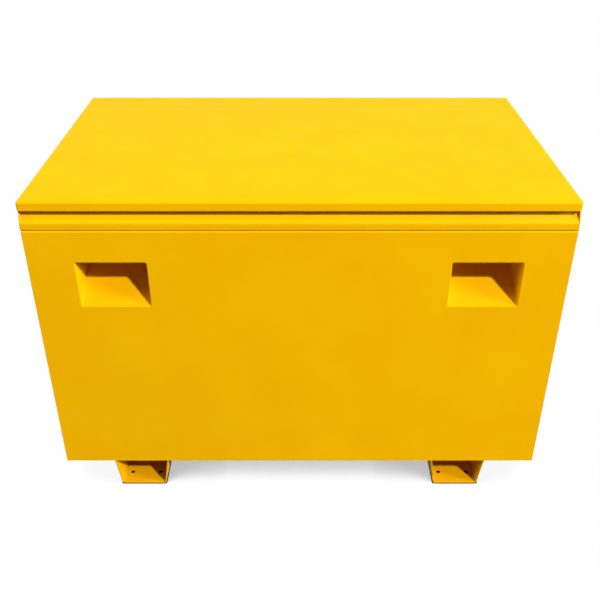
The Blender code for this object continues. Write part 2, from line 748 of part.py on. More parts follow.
def struts():
    """Gas struts: tube, gland, rod and a ball socket at each end."""
    tube_low = SOCKET_LENGTH + FIT
    tube_high = STRUT_LENGTH - SOCKET_LENGTH - FIT - ROD_SHOWING
    bore = TUBE_RADIUS - TUBE_WALL
    tube = [
        (0.0, tube_low + TUBE_WALL),
        (bore, tube_low + TUBE_WALL),
        (bore, tube_high),
        (TUBE_RADIUS, tube_high),
        (TUBE_RADIUS, tube_low),
        (0.0, tube_low),
    ]
    gland = [
        (bore - FIT, tube_high),
        (bore - FIT, tube_high - GLAND_LENGTH),
        (ROD_RADIUS + FIT, tube_high - GLAND_LENGTH),
        (ROD_RADIUS + FIT, tube_high),
    ]
    rod_top = -SOCKET_LENGTH - FIT
    piston_low = tube_low + TUBE_WALL + PISTON_FREE - STRUT_LENGTH
    rod = [
        (0.0, rod_top),
        (ROD_RADIUS, rod_top),
        (ROD_RADIUS, piston_low + PISTON_LENGTH),
        (bore - 2 * FIT, piston_low + PISTON_LENGTH),
        (bore - 2 * FIT, piston_low),
        (0.0, piston_low),
    ]
    tilt = STRUT_ANGLE / 2
    for name, side in SIDES:
        across = Vector((side * STRUT_X, 0.0, 0.0))
        foot = axis_at(f"{name}_strut_foot_axis", STRUT_FOOT + across, tilt)
        head = axis_at(f"{name}_strut_head_axis", STRUT_HEAD + across, tilt)
        placed(turned(f"{name}_strut_cylinder", tube, BLACK), foot, (0.0, 0.0, 0.0))
        placed(turned(f"{name}_strut_gland", gland, NYLON, ring=True), foot, (0.0, 0.0, 0.0))
        placed(turned(f"{name}_strut_rod", rod, CHROME), head, (0.0, 0.0, 0.0))
        ball_socket(f"{name}_strut_cylinder_socket", foot, side, 1)
        ball_socket(f"{name}_strut_rod_socket", head, -side, -1)


def ball_socket(name, empty, mouth_side, upwards):
    """Cup over a ball stud, with a shank to the strut's end."""
    hollow = BALL_RADIUS + BALL_CLEARANCE
    mouth = sqrt(hollow**2 - SOCKET_MOUTH**2)
    mouth_angle = asin(mouth / hollow)
    profile = []
    for step in range(BALL_STEPS + 1):
        angle = pi - (pi - mouth_angle) * step / BALL_STEPS
        radius = hollow * sin(angle) if step else 0.0
        profile.append((radius, hollow * cos(angle)))
    profile += [(SOCKET_RADIUS, SOCKET_MOUTH), (SOCKET_RADIUS, -SOCKET_BACK), (0.0, -SOCKET_BACK)]
    cup = turned(name, profile, NYLON, BALL_ROUND_STEPS)
    placed(cup, empty, (0.0, 0.0, 0.0), (0.0, mouth_side * pi / 2, 0.0))
    shank_start = (0.0, 0.0, upwards * (hollow + SOCKET_RADIUS) / 2)
    shank_end = (0.0, 0.0, upwards * SOCKET_LENGTH)
    shank = cutter(f"{name}_shank", bars("Z", SHANK_RADIUS, (shank_start, shank_end)))
    placed(shank, empty, (0.0, 0.0, 0.0))
    shape(cup, shank, "UNION")


LID_AXIS = axis_at("lid_axis", HINGE)

front_panel()
back_panel()
end_panels()
floor_pan()
front_rim()
weather_lips()
lock_pockets()
skids()
hinge()
lid_shell()
lid_stiffeners()
lid_seals()
strut_mounts()
strut_brackets()
ball_studs()
struts()
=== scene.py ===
"""Looks of the steel site chest: its finishes, its finer sheet work and the studio around it.

Metres, in the part's own frame: +X is the chest's right, +Y its back and +Z up.
"""

import json
import logging
from collections.abc import Iterable, Sequence
from dataclasses import dataclass, replace
from enum import Enum
from math import asin, cos, pi, radians, sin, sqrt, tan
from typing import Any, ClassVar

import bmesh
import bpy
from mathutils import Matrix, Vector

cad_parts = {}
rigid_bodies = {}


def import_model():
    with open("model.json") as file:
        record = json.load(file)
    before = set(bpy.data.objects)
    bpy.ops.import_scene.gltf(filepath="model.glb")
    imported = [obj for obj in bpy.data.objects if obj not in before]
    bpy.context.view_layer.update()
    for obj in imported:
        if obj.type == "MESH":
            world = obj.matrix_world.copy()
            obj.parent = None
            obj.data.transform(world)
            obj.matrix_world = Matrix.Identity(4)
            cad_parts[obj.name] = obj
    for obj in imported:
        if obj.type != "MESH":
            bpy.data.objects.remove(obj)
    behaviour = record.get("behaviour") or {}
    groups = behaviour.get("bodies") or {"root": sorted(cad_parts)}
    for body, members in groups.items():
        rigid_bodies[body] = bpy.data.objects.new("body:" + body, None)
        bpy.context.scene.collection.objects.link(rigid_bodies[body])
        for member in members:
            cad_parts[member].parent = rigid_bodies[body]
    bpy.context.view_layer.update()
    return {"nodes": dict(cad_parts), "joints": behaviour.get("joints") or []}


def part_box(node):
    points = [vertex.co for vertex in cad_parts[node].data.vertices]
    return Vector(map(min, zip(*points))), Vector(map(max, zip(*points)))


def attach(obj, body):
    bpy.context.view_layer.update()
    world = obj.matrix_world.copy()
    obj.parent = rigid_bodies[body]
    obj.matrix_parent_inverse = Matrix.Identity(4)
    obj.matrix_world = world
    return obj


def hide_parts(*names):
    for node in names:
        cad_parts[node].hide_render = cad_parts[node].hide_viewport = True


LOG = logging.getLogger("site_chest")

FIT = 0.0003  # gap between pieces that touch, as in the frame
SHEET = 0.002  # panels, lid and rim
BEND = 0.004  # outer radius of a fold
BEND_STEPS = 6  # facets of a fold
LEAST_FOLD = radians(25)  # sheet that turns less than this isn't folded there
SAME_TURN = 0.02  # folds whose angles differ by less are rounded together
EDGE = 0.0004  # rounding of a sheared and coated edge
EDGE_STEPS = 2  # facets of a rounded edge
SHARP = radians(40)  # edges that turn further than this are rounded
ROUND_STEPS = 32  # facets round an axis
BEYOND = 0.050  # how far a cutter reaches past what it cuts
MERGE = 0.00001  # points closer than this are one
FACING = 0.9  # part of a normal along an axis, past which a face looks that way
FLAT_WEIGHT = 100  # how far large flats rule the shading beside them
STRUT_TILT = radians(35)  # of the gas struts under the shut lid, about X
NOISE_LOW = 0.3  # noise textures lie mostly between these
NOISE_HIGH = 0.7

Tree = bpy.types.NodeTree
Socket = bpy.types.NodeSocket
Mesh = bmesh.types.BMesh
Edge = bmesh.types.BMEdge
Outline = Sequence[Sequence[float]]  # points in two axes
Span = tuple[Sequence[float], Sequence[float]]  # two opposite corners, or two ends


class Axis(Enum):
    """Axes of the frame, by their index in a vector."""

    X = 0
    Y = 1
    Z = 2


class Side(Enum):
    """Left and right of the chest, with the sign of their X."""

    LEFT = -1
    RIGHT = 1

    @property
    def word(self) -> str:
        """Side's word in the names of pieces."""
        return self.name.lower()


class Body(Enum):
    """Bodies that pieces ride on."""

    CHEST = "body"
    LID = "lid"
    LEFT_TUBE = "left_strut_tube"
    RIGHT_TUBE = "right_strut_tube"
    LEFT_PISTON = "left_strut_piston"
    RIGHT_PISTON = "right_strut_piston"


class Slot(Enum):
    """Finish slots of the part's record."""

    YELLOW_PAINT = "yellow_paint"
    BLACK_LACQUER = "black_lacquer"
    BLACK_NYLON = "black_nylon"
    CHROME_ROD = "chrome_rod"
    ZINC_PLATE = "zinc_plate"
    SEAL_RUBBER = "seal_rubber"


# Shader nodes and finishes


def linear(code: str) -> tuple[float, float, float, float]:
    """Turn a colour's sRGB hex code to linear light.

    Args:
        code: Six hex digits after a hash sign.

    Returns:
        Red, green, blue and an alpha of 1.
    """
    channels = []
    for start in (1, 3, 5):
        value = int(code[start:start + 2], 16) / 255
        channels.append(value / 12.92 if value <= 0.04045 else ((value + 0.055) / 1.055) ** 2.4)
    return (*channels, 1.0)


def per_metre(size_mm: float) -> float:
    """Scale of a pattern whose features are that many millimetres across."""
    return 1000.0 / size_mm


def add_node(
    tree: Tree,
    kind: str,
    inputs: dict[str | int, Any] | None = None,
    **settings: Any,
) -> bpy.types.Node:
    """Add a node with its settings and links.

    Args:
        tree: Tree that takes the node.
        kind: Node's type name.
        inputs: A value, or an output socket to link from, for each input by name or index.
        settings: Values for the node's own attributes.

    Returns:
        The new node.
    """
    node = tree.nodes.new(kind)
    for name, value in settings.items():
        setattr(node, name, value)
    for name, value in (inputs or {}).items():
        if isinstance(value, Socket):
            tree.links.new(value, node.inputs[name])
        else:
            node.inputs[name].default_value = value
    return node


class Pattern(Enum):
    """Patterns of a finish, by the node that draws them."""

    CLOUDS = "ShaderNodeTexNoise"
    CELLS = "ShaderNodeTexVoronoi"


@dataclass(frozen=True)
class Texture:
    """Pattern with features of a real size."""

    size_mm: float  # width of the largest features
    depth: float = 0.0  # of its relief, in metres
    detail: float = 2.0  # octaves of finer features
    pattern: Pattern = Pattern.CLOUDS
    tilt: float = 0.0  # about X, of a rod that the pattern runs round
    stretch: tuple[float, float, float] = (0.05, 0.05, 1.0)  # reaches right round such a rod

    def draw(self, tree: Tree, coordinates: Socket) -> Socket:
        """Draw the pattern.

        Args:
            tree: Tree that takes the nodes.
            coordinates: Object coordinates.

        Returns:
            The pattern's value, from 0 to 1.
        """
        if self.tilt:
            turn = {"Vector": coordinates, "Rotation": (-self.tilt, 0.0, 0.0), "Scale": self.stretch}
            coordinates = add_node(tree, "ShaderNodeMapping", turn).outputs["Vector"]
        inputs = {"Vector": coordinates, "Scale": per_metre(self.size_mm), "Detail": self.detail}
        return add_node(tree, self.pattern.value, inputs).outputs[0]


@dataclass(frozen=True)
class Finish:
    """Finish of a piece: a principled shader whose colour and roughness drift over the surface."""

    name: str
    slot: Slot
    colours: tuple[str, str]  # at both ends of the drift
    roughness: tuple[float, float]
    tone: Texture  # the colour follows it
    sheen: Texture | None = None  # the roughness follows it, or else the tone
    reliefs: tuple[Texture, ...] = ()
    metallic: float = 0.0
    specular: float = 0.5
    diffuse_roughness: float = 0.0

    def material(self) -> bpy.types.Material:
        """Make the finish's material on its first use.

        Returns:
            The material.
        """
        found = bpy.data.materials.get(self.name)
        if found is not None:
            return found
        made = bpy.data.materials.new(self.name)
        made.use_nodes = True
        tree = made.node_tree
        tree.nodes.clear()
        shader = add_node(tree, "ShaderNodeBsdfPrincipled", self.surface(tree))
        add_node(tree, "ShaderNodeOutputMaterial", {"Surface": shader.outputs["BSDF"]})
        return made

    def surface(self, tree: Tree) -> dict[str, Any]:
        """Draw the finish's patterns on object coordinates.

        Args:
            tree: Tree that takes the nodes.

        Returns:
            A value or an output socket for each shader input that the finish sets.
        """
        coordinates = add_node(tree, "ShaderNodeTexCoord").outputs["Object"]
        sheen = self.sheen or self.tone
        textures = dict.fromkeys((self.tone, sheen, *self.reliefs))
        values = {texture: texture.draw(tree, coordinates) for texture in textures}

        spread = {"From Min": NOISE_LOW, "From Max": NOISE_HIGH}
        share = add_node(tree, "ShaderNodeMapRange", {"Value": values[self.tone], **spread})
        # By index, because the mix node's sockets share their names.
        ends = {0: share.outputs["Result"], 6: linear(self.colours[0]), 7: linear(self.colours[1])}
        colour = add_node(tree, "ShaderNodeMix", ends, data_type="RGBA")
        limits = {"To Min": self.roughness[0], "To Max": self.roughness[1]}
        rough = add_node(tree, "ShaderNodeMapRange", {"Value": values[sheen], **spread, **limits})
        normal: dict[str, Socket] = {}
        for texture in self.reliefs:
            bump = {"Height": values[texture], "Distance": texture.depth, **normal}
            normal = {"Normal": add_node(tree, "ShaderNodeBump", bump).outputs["Normal"]}
        return {
            "Base Color": colour.outputs[2],
            "Roughness": rough.outputs["Result"],
            "Metallic": self.metallic,
            "Specular IOR Level": self.specular,
            "Diffuse Roughness": self.diffuse_roughness,
            **normal,
        }


# Polyester powder coat, sprayed on steel and baked.
# Gives the eye an even, satin yellow whose flats are alive, without a mirror in them.
YELLOW = Finish(
    "yellow_powder_coat_on_steel",
    Slot.YELLOW_PAINT,
    ("#F4B602", "#F7BC04"),
    (0.40, 0.48),
    tone=Texture(140.0, detail=3.0),  # the coat's thickness drifts over a hand's width
    sheen=Texture(45.0),
    reliefs=(
        Texture(320.0, depth=0.0003, detail=1.0),  # sheet isn't dead flat
        Texture(5.0, depth=0.00004),  # real orange peel is 1 to 2 mm across, and wouldn't show
    ),
    specular=0.02,
    diffuse_roughness=0.25,
)

# The same coat on the thicker sheet of the skids, darker there as painted shade for the lesser light under
# the chest.
# Gives the eye a deeper yellow than the rest of the chest.
SHADED_SKID_YELLOW = replace(
    YELLOW,
    name="deeper_yellow_powder_coat_on_steel",
    colours=("#E0A202", "#E3A703"),
)

# Zinc electroplate with a clear passivate, over rolled or turned steel.
# Gives the eye a cool grey metal, faintly warm in patches, that blurs what it mirrors.
ZINC = Finish(
    "zinc_plated_steel",
    Slot.ZINC_PLATE,
    ("#A6AAAD", "#BFBAAD"),
    (0.32, 0.46),
    tone=Texture(14.0, detail=4.0),
    reliefs=(Texture(1.2, depth=0.00002),),
    metallic=1.0,
)

# Hard chrome on a ground piston rod.
# Gives the eye a bright mirror with the fine rings that grinding leaves.
CHROME = Finish(
    "hard_chromed_steel",
    Slot.CHROME_ROD,
    ("#D6D9DC", "#E6E8EA"),
    (0.07, 0.16),
    tone=Texture(0.8, detail=3.0, tilt=STRUT_TILT),
    metallic=1.0,
)

# Stoved black lacquer on a drawn steel tube.
# Gives the eye a smooth black with one soft highlight along the tube, duller where dusty.
LACQUER = Finish(
    "black_lacquered_steel_tube",
    Slot.BLACK_LACQUER,
    ("#161617", "#202021"),
    (0.26, 0.40),
    tone=Texture(20.0, detail=4.0),
    reliefs=(Texture(3.0, depth=0.00002),),
)

MOULD_GRAIN = Texture(0.9, depth=0.00005, detail=3.0)

# Black glass-filled nylon from a spark-eroded mould.
# Gives the eye a dry, fine-grained black, duller than the lacquer beside it.
NYLON = Finish(
    "black_moulded_nylon",
    Slot.BLACK_NYLON,
    ("#1C1C1D", "#29292A"),
    (0.48, 0.62),
    tone=MOULD_GRAIN,
    reliefs=(MOULD_GRAIN,),
)

# Closed-cell foam rubber strip with a skin, pitted where cells have opened.
# Gives the eye a soft, matt black that takes almost no highlight.
RUBBER = Finish(
    "closed_cell_foam_rubber",
    Slot.SEAL_RUBBER,
    ("#19191A", "#262627"),
    (0.78, 0.92),
    tone=Texture(30.0, detail=3.0),
    reliefs=(Texture(1.6, depth=0.00015, detail=0.0, pattern=Pattern.CELLS),),
    specular=0.3,
)


# Sheet work and turning


def blocks(*spans: Span) -> Mesh:
    """Make a box for each pair of opposite corners.

    Args:
        spans: Pairs of opposite corners.

    Returns:
        A bmesh with all the boxes.
    """
    mesh = bmesh.new()
    for first, second in spans:
        low = Vector(map(min, first, second))
        high = Vector(map(max, first, second))
        made = bmesh.ops.create_cube(mesh, size=1.0)["verts"]
        bmesh.ops.scale(mesh, vec=high - low, verts=made)
        bmesh.ops.translate(mesh, vec=(low + high) / 2, verts=made)
    return mesh


def bars(radius: float, *ends: Span) -> Mesh:
    """Make an upright round bar for each pair of end points.

    Args:
        radius: Radius of the bars.
        ends: Pairs of end points.

    Returns:
        A bmesh with all the bars.
    """
    mesh = bmesh.new()
    for first, second in ends:
        middle = (Vector(first) + Vector(second)) / 2
        bmesh.ops.create_cone(
            mesh,
            cap_ends=True,
            segments=ROUND_STEPS,
            radius1=radius,
            radius2=radius,
            depth=(Vector(second) - Vector(first)).length,
            matrix=Matrix.Translation(middle),
        )
    return mesh


def drawn(
    section: Outline,
    along: Axis,
    stations: Sequence[float],
    facing: Sequence[float],
) -> Mesh:
    """Draw a line of corners through stations along an axis, as one open sheet.

    Args:
        section: Corners of the sheet's outer face, in the two axes other than along.
        along: Axis that the sheet runs along.
        stations: Places along that axis, from the first to the last.
        facing: The way that the section's first stretch looks.

    Returns:
        The sheet's outer face.
    """
    mesh = bmesh.new()
    corners = []
    for pair in section:
        place = list(pair)
        place.insert(along.value, stations[0])
        corners.append(mesh.verts.new(place))
    edges = [mesh.edges.new(pair) for pair in zip(corners, corners[1:])]
    for start, end in zip(stations, stations[1:]):
        travel = Vector((0.0, 0.0, 0.0))
        travel[along.value] = end - start
        edges = extruded(mesh, edges, travel)
    bmesh.ops.recalc_face_normals(mesh, faces=mesh.faces)
    if corners[0].link_faces[0].normal.dot(Vector(facing)) < 0:
        bmesh.ops.reverse_faces(mesh, faces=mesh.faces)
    return mesh


def extruded(
    mesh: Mesh,
    edges: Sequence[Edge],
    travel: Vector,
) -> list[Edge]:
    """Extrude edges along a vector.

    Args:
        mesh: Bmesh that holds the edges.
        edges: Edges to extrude.
        travel: How far they go.

    Returns:
        The edges at the far side.
    """
    made = bmesh.ops.extrude_edge_only(mesh, edges=edges)["geom"]
    moved = [item for item in made if isinstance(item, bmesh.types.BMVert)]
    bmesh.ops.translate(mesh, vec=travel, verts=moved)
    ahead = set(moved)
    found = [item for item in made if isinstance(item, Edge)]
    return [edge for edge in found if ahead.issuperset(edge.verts)]


def round_off(
    mesh: Mesh,
    edges: Iterable[Edge],
    offset: float,
    steps: int = BEND_STEPS,
) -> None:
    """Round edges of a bmesh.

    Args:
        mesh: Bmesh that holds the edges.
        edges: Edges to round.
        offset: Where the rounding starts, from the edge.
        steps: Facets of the rounding.
    """
    bmesh.ops.bevel(
        mesh,
        geom=list(edges),
        offset=offset,
        offset_type="OFFSET",
        segments=steps,
        profile=0.5,
        affect="EDGES",
        material=-1,
    )


def folds(mesh: Mesh, radius: float = BEND) -> None:
    """Round every fold of an open sheet to one radius.

    Args:
        mesh: The sheet's outer face.
        radius: Radius of that face at a fold.
    """
    sharp = [edge for edge in mesh.edges if len(edge.link_faces) == 2]
    turns = {round(edge.calc_face_angle(), 2) for edge in sharp}
    for turn in turns:
        if turn > LEAST_FOLD:
            found = [edge for edge in mesh.edges if len(edge.link_faces) == 2]
            found = [edge for edge in found if abs(edge.calc_face_angle() - turn) < SAME_TURN]
            round_off(mesh, found, radius * tan(turn / 2))


def turned(
    profile: Outline,
    steps: int = ROUND_STEPS,
    ring: bool = False,
) -> Mesh:
    """Turn a profile about the Z axis.

    Args:
        profile: Points of radius and height.
        steps: Facets round the axis.
        ring: Whether the profile closes on itself, and not on the axis.

    Returns:
        The closed round body.
    """
    mesh = bmesh.new()
    points = [mesh.verts.new((radius, 0.0, height)) for radius, height in profile]
    pairs = list(zip(points, points[1:]))
    if ring:
        pairs.append((points[-1], points[0]))
    edges = [mesh.edges.new(pair) for pair in pairs]
    bmesh.ops.spin(
        mesh,
        geom=points + edges,
        cent=(0.0, 0.0, 0.0),
        axis=(0.0, 0.0, 1.0),
        angle=2 * pi,
        steps=steps,
        use_merge=True,
    )
    bmesh.ops.remove_doubles(mesh, verts=mesh.verts, dist=MERGE)
    bmesh.ops.recalc_face_normals(mesh, faces=mesh.faces)
    return mesh


def gather(meshes: Iterable[Mesh]) -> Mesh:
    """Bring bmeshes together in one, and free them.

    Args:
        meshes: The bmeshes.

    Returns:
        A bmesh with all their shapes.
    """
    whole = bmesh.new()
    for mesh in meshes:
        data = bpy.data.meshes.new("gathered")
        mesh.to_mesh(data)
        mesh.free()
        whole.from_mesh(data)
        bpy.data.meshes.remove(data)
    return whole


def arc(radius: float, start: float, end: float, steps: int) -> list[tuple[float, float]]:
    """Points of radius and height on a sphere, between two angles from its top.

    Args:
        radius: The sphere's radius.
        start: First angle.
        end: Last angle.
        steps: Stretches of the arc.

    Returns:
        The points, with a radius of exactly 0 at a pole.
    """
    points = []
    for step in range(steps + 1):
        angle = start + (end - start) * step / steps
        across = radius * sin(angle)
        points.append((across if across > MERGE else 0.0, radius * cos(angle)))
    return points


def piece(
    name: str,
    mesh: Mesh,
    finish: Finish,
    body: Body,
    *replaced: str,
) -> bpy.types.Object:
    """Make a bmesh a piece of the chest.

    Args:
        name: The piece's name.
        mesh: Its shape, in place.
        finish: Its finish.
        body: Body that it rides on.
        replaced: Frame nodes that it stands for.

    Returns:
        The piece.
    """
    made = loose(name, mesh)
    made.data.materials.append(finish.material())
    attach(made, body.value)
    if replaced:
        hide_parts(*replaced)
    LOG.info("piece %s on %s", name, body.value)
    return made


def loose(name: str, mesh: Mesh) -> bpy.types.Object:
    """Make an object of a bmesh, and free the bmesh.

    Args:
        name: The object's name.
        mesh: Its shape, in place.

    Returns:
        An object that rides on nothing.
    """
    data = bpy.data.meshes.new(name)
    mesh.to_mesh(data)
    mesh.free()
    made = bpy.data.objects.new(name, data)
    bpy.context.scene.collection.objects.link(made)
    return made


def thicken(made: bpy.types.Object, thickness: float = SHEET, outwards: bool = False) -> None:
    """Give an open sheet its thickness.

    Args:
        made: Piece whose mesh is the sheet's outer face.
        thickness: Thickness of the sheet.
        outwards: Whether it grows in front of the faces, and not behind them.
    """
    solid = made.modifiers.new("thickness", "SOLIDIFY")
    solid.thickness = thickness
    solid.offset = 1.0 if outwards else -1.0
    solid.use_even_offset = True


def cut(made: bpy.types.Object, tool: Mesh, operation: str = "DIFFERENCE") -> None:
    """Cut a shape out of a piece, or join it on, and settle the result in the piece's mesh.

    Args:
        made: Piece to cut, with the modifiers that it has so far.
        tool: The shape.
        operation: DIFFERENCE or UNION.
    """
    cutter = loose(f"{made.name}_cutter", tool)
    boolean = made.modifiers.new("cut", "BOOLEAN")
    boolean.operation = operation
    boolean.solver = "EXACT"
    boolean.object = cutter
    bpy.context.view_layer.update()
    graph = bpy.context.evaluated_depsgraph_get()
    before = made.data
    settled = bpy.data.meshes.new_from_object(made.evaluated_get(graph))
    made.modifiers.clear()
    made.data = settled
    bpy.data.meshes.remove(before)
    settled.name = made.name
    bpy.data.objects.remove(cutter, do_unlink=True)
    # The solver leaves slivers, which a later rounding would tear.
    mesh = bmesh.new()
    mesh.from_mesh(settled)
    bmesh.ops.remove_doubles(mesh, verts=mesh.verts, dist=MERGE)
    bmesh.ops.dissolve_degenerate(mesh, edges=mesh.edges, dist=MERGE)
    mesh.to_mesh(settled)
    mesh.free()


def soften(made: bpy.types.Object, width: float = EDGE) -> None:
    """Round a piece's sharp edges and shade it smooth, with its flats kept flat.

    Args:
        made: Piece to finish.
        width: Size of the rounding, or 0 for none.
    """
    if width:
        rounding = made.modifiers.new("edges", "BEVEL")
        rounding.width = width
        rounding.segments = EDGE_STEPS
        rounding.limit_method = "ANGLE"
        rounding.angle_limit = SHARP
        weld = made.modifiers.new("slivers", "WELD")
        weld.merge_threshold = MERGE
    normals = made.modifiers.new("flats", "WEIGHTED_NORMAL")
    normals.weight = FLAT_WEIGHT
    for polygon in made.data.polygons:
        polygon.use_smooth = True


def past_ends(inner: float, low: Sequence[float], high: Sequence[float], end: float) -> list[Span]:
    """Boxes past both ends of the chest.

    Args:
        inner: Where the boxes start, from the middle.
        low: Lowest Y and Z.
        high: Highest Y and Z.
        end: The chest's end, from the middle.

    Returns:
        Opposite corners of the two boxes.
    """
    outer = end + BEYOND
    return [((side.value * inner, *low), (side.value * outer, *high)) for side in Side]


# Chest


@dataclass
class FrontPanel:
    """Front sheet: top edge folded in, and the edges of its two openings turned in."""

    mouth_from_end: float = 0.187
    mouth_width: float = 0.160
    mouth_height: float = 0.1137
    mouth_below_top: float = 0.0793
    mouth_turn: float = 0.004
    mouth_round: float = 0.0022  # more than the sheet, so that the fold's inside is round too
    corner_round: float = 0.003
    corner_steps: int = 4

    def build(self) -> None:
        """Build and dress the panel."""
        low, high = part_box("front_panel")
        top = high.z - self.mouth_below_top
        bottom = top - self.mouth_height
        half = self.mouth_width / 2
        middles = [side.value * (high.x - self.mouth_from_end) for side in Side]
        stations = [low.x, *(middle + reach for middle in middles for reach in (-half, half)), high.x]
        section = [(low.y, low.z), (low.y, bottom), (low.y, top), (low.y, high.z), (high.y, high.z)]
        mesh = drawn(section, Axis.X, stations, (0, -1, 0))

        mouths = [face for face in mesh.faces if self.is_mouth(face, middles, bottom, top)]
        bmesh.ops.delete(mesh, geom=mouths, context="FACES")
        rim = [edge for edge in mesh.edges if edge.is_boundary and self.is_inside(edge, low, high)]
        extruded(mesh, rim, Vector((0.0, self.mouth_turn, 0.0)))
        self.round_mouths(mesh, low.y)
        top_fold = [edge for edge in mesh.edges if self.on_line(edge, low.y, high.z)]
        round_off(mesh, top_fold, BEND)

        panel = piece("front_panel_sheet", mesh, YELLOW, Body.CHEST, "front_panel")
        thicken(panel)
        inner = high.x - SHEET - FIT
        corner = (low.y + SHEET + FIT, high.z - BEYOND / 2)
        cut(panel, blocks(*past_ends(inner, corner, (corner[0] + BEYOND, high.z + BEYOND), high.x)))
        soften(panel)

    def is_mouth(self, face: bmesh.types.BMFace, middles: list[float], bottom: float, top: float) -> bool:
        """Tell whether a face of the plain sheet fills one of the openings.

        Args:
            face: The face.
            middles: X of the openings' middles.
            bottom: Z of their lower edges.
            top: Z of their upper edges.

        Returns:
            Whether it does.
        """
        place = face.calc_center_median()
        near = min(abs(place.x - middle) for middle in middles)
        return near < self.mouth_width / 2 and bottom < place.z < top

    def is_inside(self, edge: Edge, low: Vector, high: Vector) -> bool:
        """Whether an edge lies clear of the sheet's outline."""
        places = [vert.co for vert in edge.verts]
        return all(low.x < place.x < high.x and low.z < place.z < high.z - MERGE for place in places)

    def on_line(self, edge: Edge, across: float, height: float) -> bool:
        """Whether an edge lies on a line along X."""
        places = [vert.co for vert in edge.verts]
        return all(abs(place.y - across) < MERGE and abs(place.z - height) < MERGE for place in places)

    def round_mouths(self, mesh: Mesh, face: float) -> None:
        """Round the openings' corners, and then their edges.

        Args:
            mesh: Sheet with the openings turned in.
            face: Y of the sheet's face.
        """
        corners = []
        for edge in mesh.edges:
            first, second = (vert.co for vert in edge.verts)
            across = abs(first.y - second.y)
            if abs(across - self.mouth_turn) < MERGE and (first - second).length < across + MERGE:
                corners.append(edge)
        round_off(mesh, corners, self.corner_round, self.corner_steps)
        rim = []
        under_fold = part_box("front_panel")[1].z - BEND
        for edge in mesh.edges:
            on_face = all(abs(vert.co.y - face) < MERGE for vert in edge.verts)
            turns = len(edge.link_faces) == 2 and edge.calc_face_angle() > SHARP
            if on_face and turns and all(vert.co.z < under_fold for vert in edge.verts):
                rim.append(edge)
        round_off(mesh, rim, self.mouth_round, self.corner_steps)


@dataclass
class FrontRim:
    """Folded rim above the front panel: foot, band, finger slope, neck and return."""

    foot: float = 0.015
    band_height: float = 0.0175
    slope_run: float = 0.015
    slope_rise: float = 0.018
    end_above_slope: float = 0.009
    lip_return: float = 0.010

    def build(self) -> None:
        """Build and dress the rim."""
        low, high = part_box("front_rim")
        band_top = low.z + self.band_height
        neck = low.y + self.slope_run
        slope_top = band_top + self.slope_rise
        end_top = slope_top + self.end_above_slope
        section = [
            (low.y + self.foot, low.z),
            (low.y, low.z),
            (low.y, band_top),
            (neck, slope_top),
            (neck, high.z),
            (neck + self.lip_return, high.z),
        ]
        mesh = drawn(section, Axis.X, (low.x, high.x), (0, 0, -1))
        folds(mesh)
        rim = piece("front_rim_sheet", mesh, YELLOW, Body.CHEST, "front_rim")
        thicken(rim)
        inner = high.x - SHEET - FIT
        neck_x = high.x - self.slope_run
        ear = band_top - BEND
        behind = low.y + SHEET + FIT
        far = neck + BEYOND
        ends = [
            (inner, (behind, low.z - BEYOND), (far, ear + FIT)),
            (inner, (low.y - BEYOND, ear), (far, high.z + BEYOND)),
            (neck_x, (neck - BEYOND, end_top), (far, high.z + BEYOND)),
            (
                neck_x - self.lip_return - FIT,
                (neck + SHEET + FIT, end_top + self.lip_return / 2),
                (far, high.z + BEYOND),
            ),
        ]
        for start, corner, opposite in ends:
            cut(rim, blocks(*past_ends(start, corner, opposite, high.x)))
        soften(rim)


@dataclass
class LockPocket:
    """Welded pocket behind an opening, with a ramp for a floor and a slot in its roof."""

    side: Side
    mouth: FrontPanel
    depth: float = 0.095
    ramp_rise: float = 0.062
    roof_below_top: float = 0.015
    tongue_setback: float = 0.045
    tongue_width: float = 0.045
    tongue_plate: float = 0.005
    slot_side: float = 0.002
    slot_front: float = 0.010

    def build(self) -> None:
        """Build and dress the pocket."""
        word = self.side.word
        low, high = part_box("front_panel")
        middle = self.side.value * (high.x - self.mouth.mouth_from_end)
        half = self.mouth.mouth_width / 2
        bottom = high.z - self.mouth.mouth_below_top - self.mouth.mouth_height
        roof = high.z - self.roof_below_top
        start = low.y + self.mouth.mouth_turn
        end = low.y + SHEET + FIT + self.depth
        mesh = blocks(((middle - half, start, bottom), (middle + half, end, roof)))
        lift = [vert for vert in mesh.verts if vert.co.z < roof - MERGE and vert.co.y > end - MERGE]
        bmesh.ops.translate(mesh, vec=(0.0, 0.0, self.ramp_rise), verts=lift)
        front = [face for face in mesh.faces if face.normal.y < -FACING]
        bmesh.ops.delete(mesh, geom=front, context="FACES")
        inner = [edge for edge in mesh.edges if len(edge.link_faces) == 2]
        round_off(mesh, inner, self.mouth.corner_round, self.mouth.corner_steps)
        node = f"{word}_lock_pocket"
        pocket = piece(f"{node}_sheet", mesh, YELLOW, Body.CHEST, node)
        thicken(pocket, outwards=True)
        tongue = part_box("lid_shell")[0].y + self.tongue_setback
        slot = self.tongue_width / 2 + self.slot_side
        cut(pocket, blocks((
            (middle - slot, tongue - self.slot_front, roof - BEND),
            (middle + slot, tongue + self.tongue_plate + 2 * FIT, roof + BEND),
        )))
        soften(pocket)


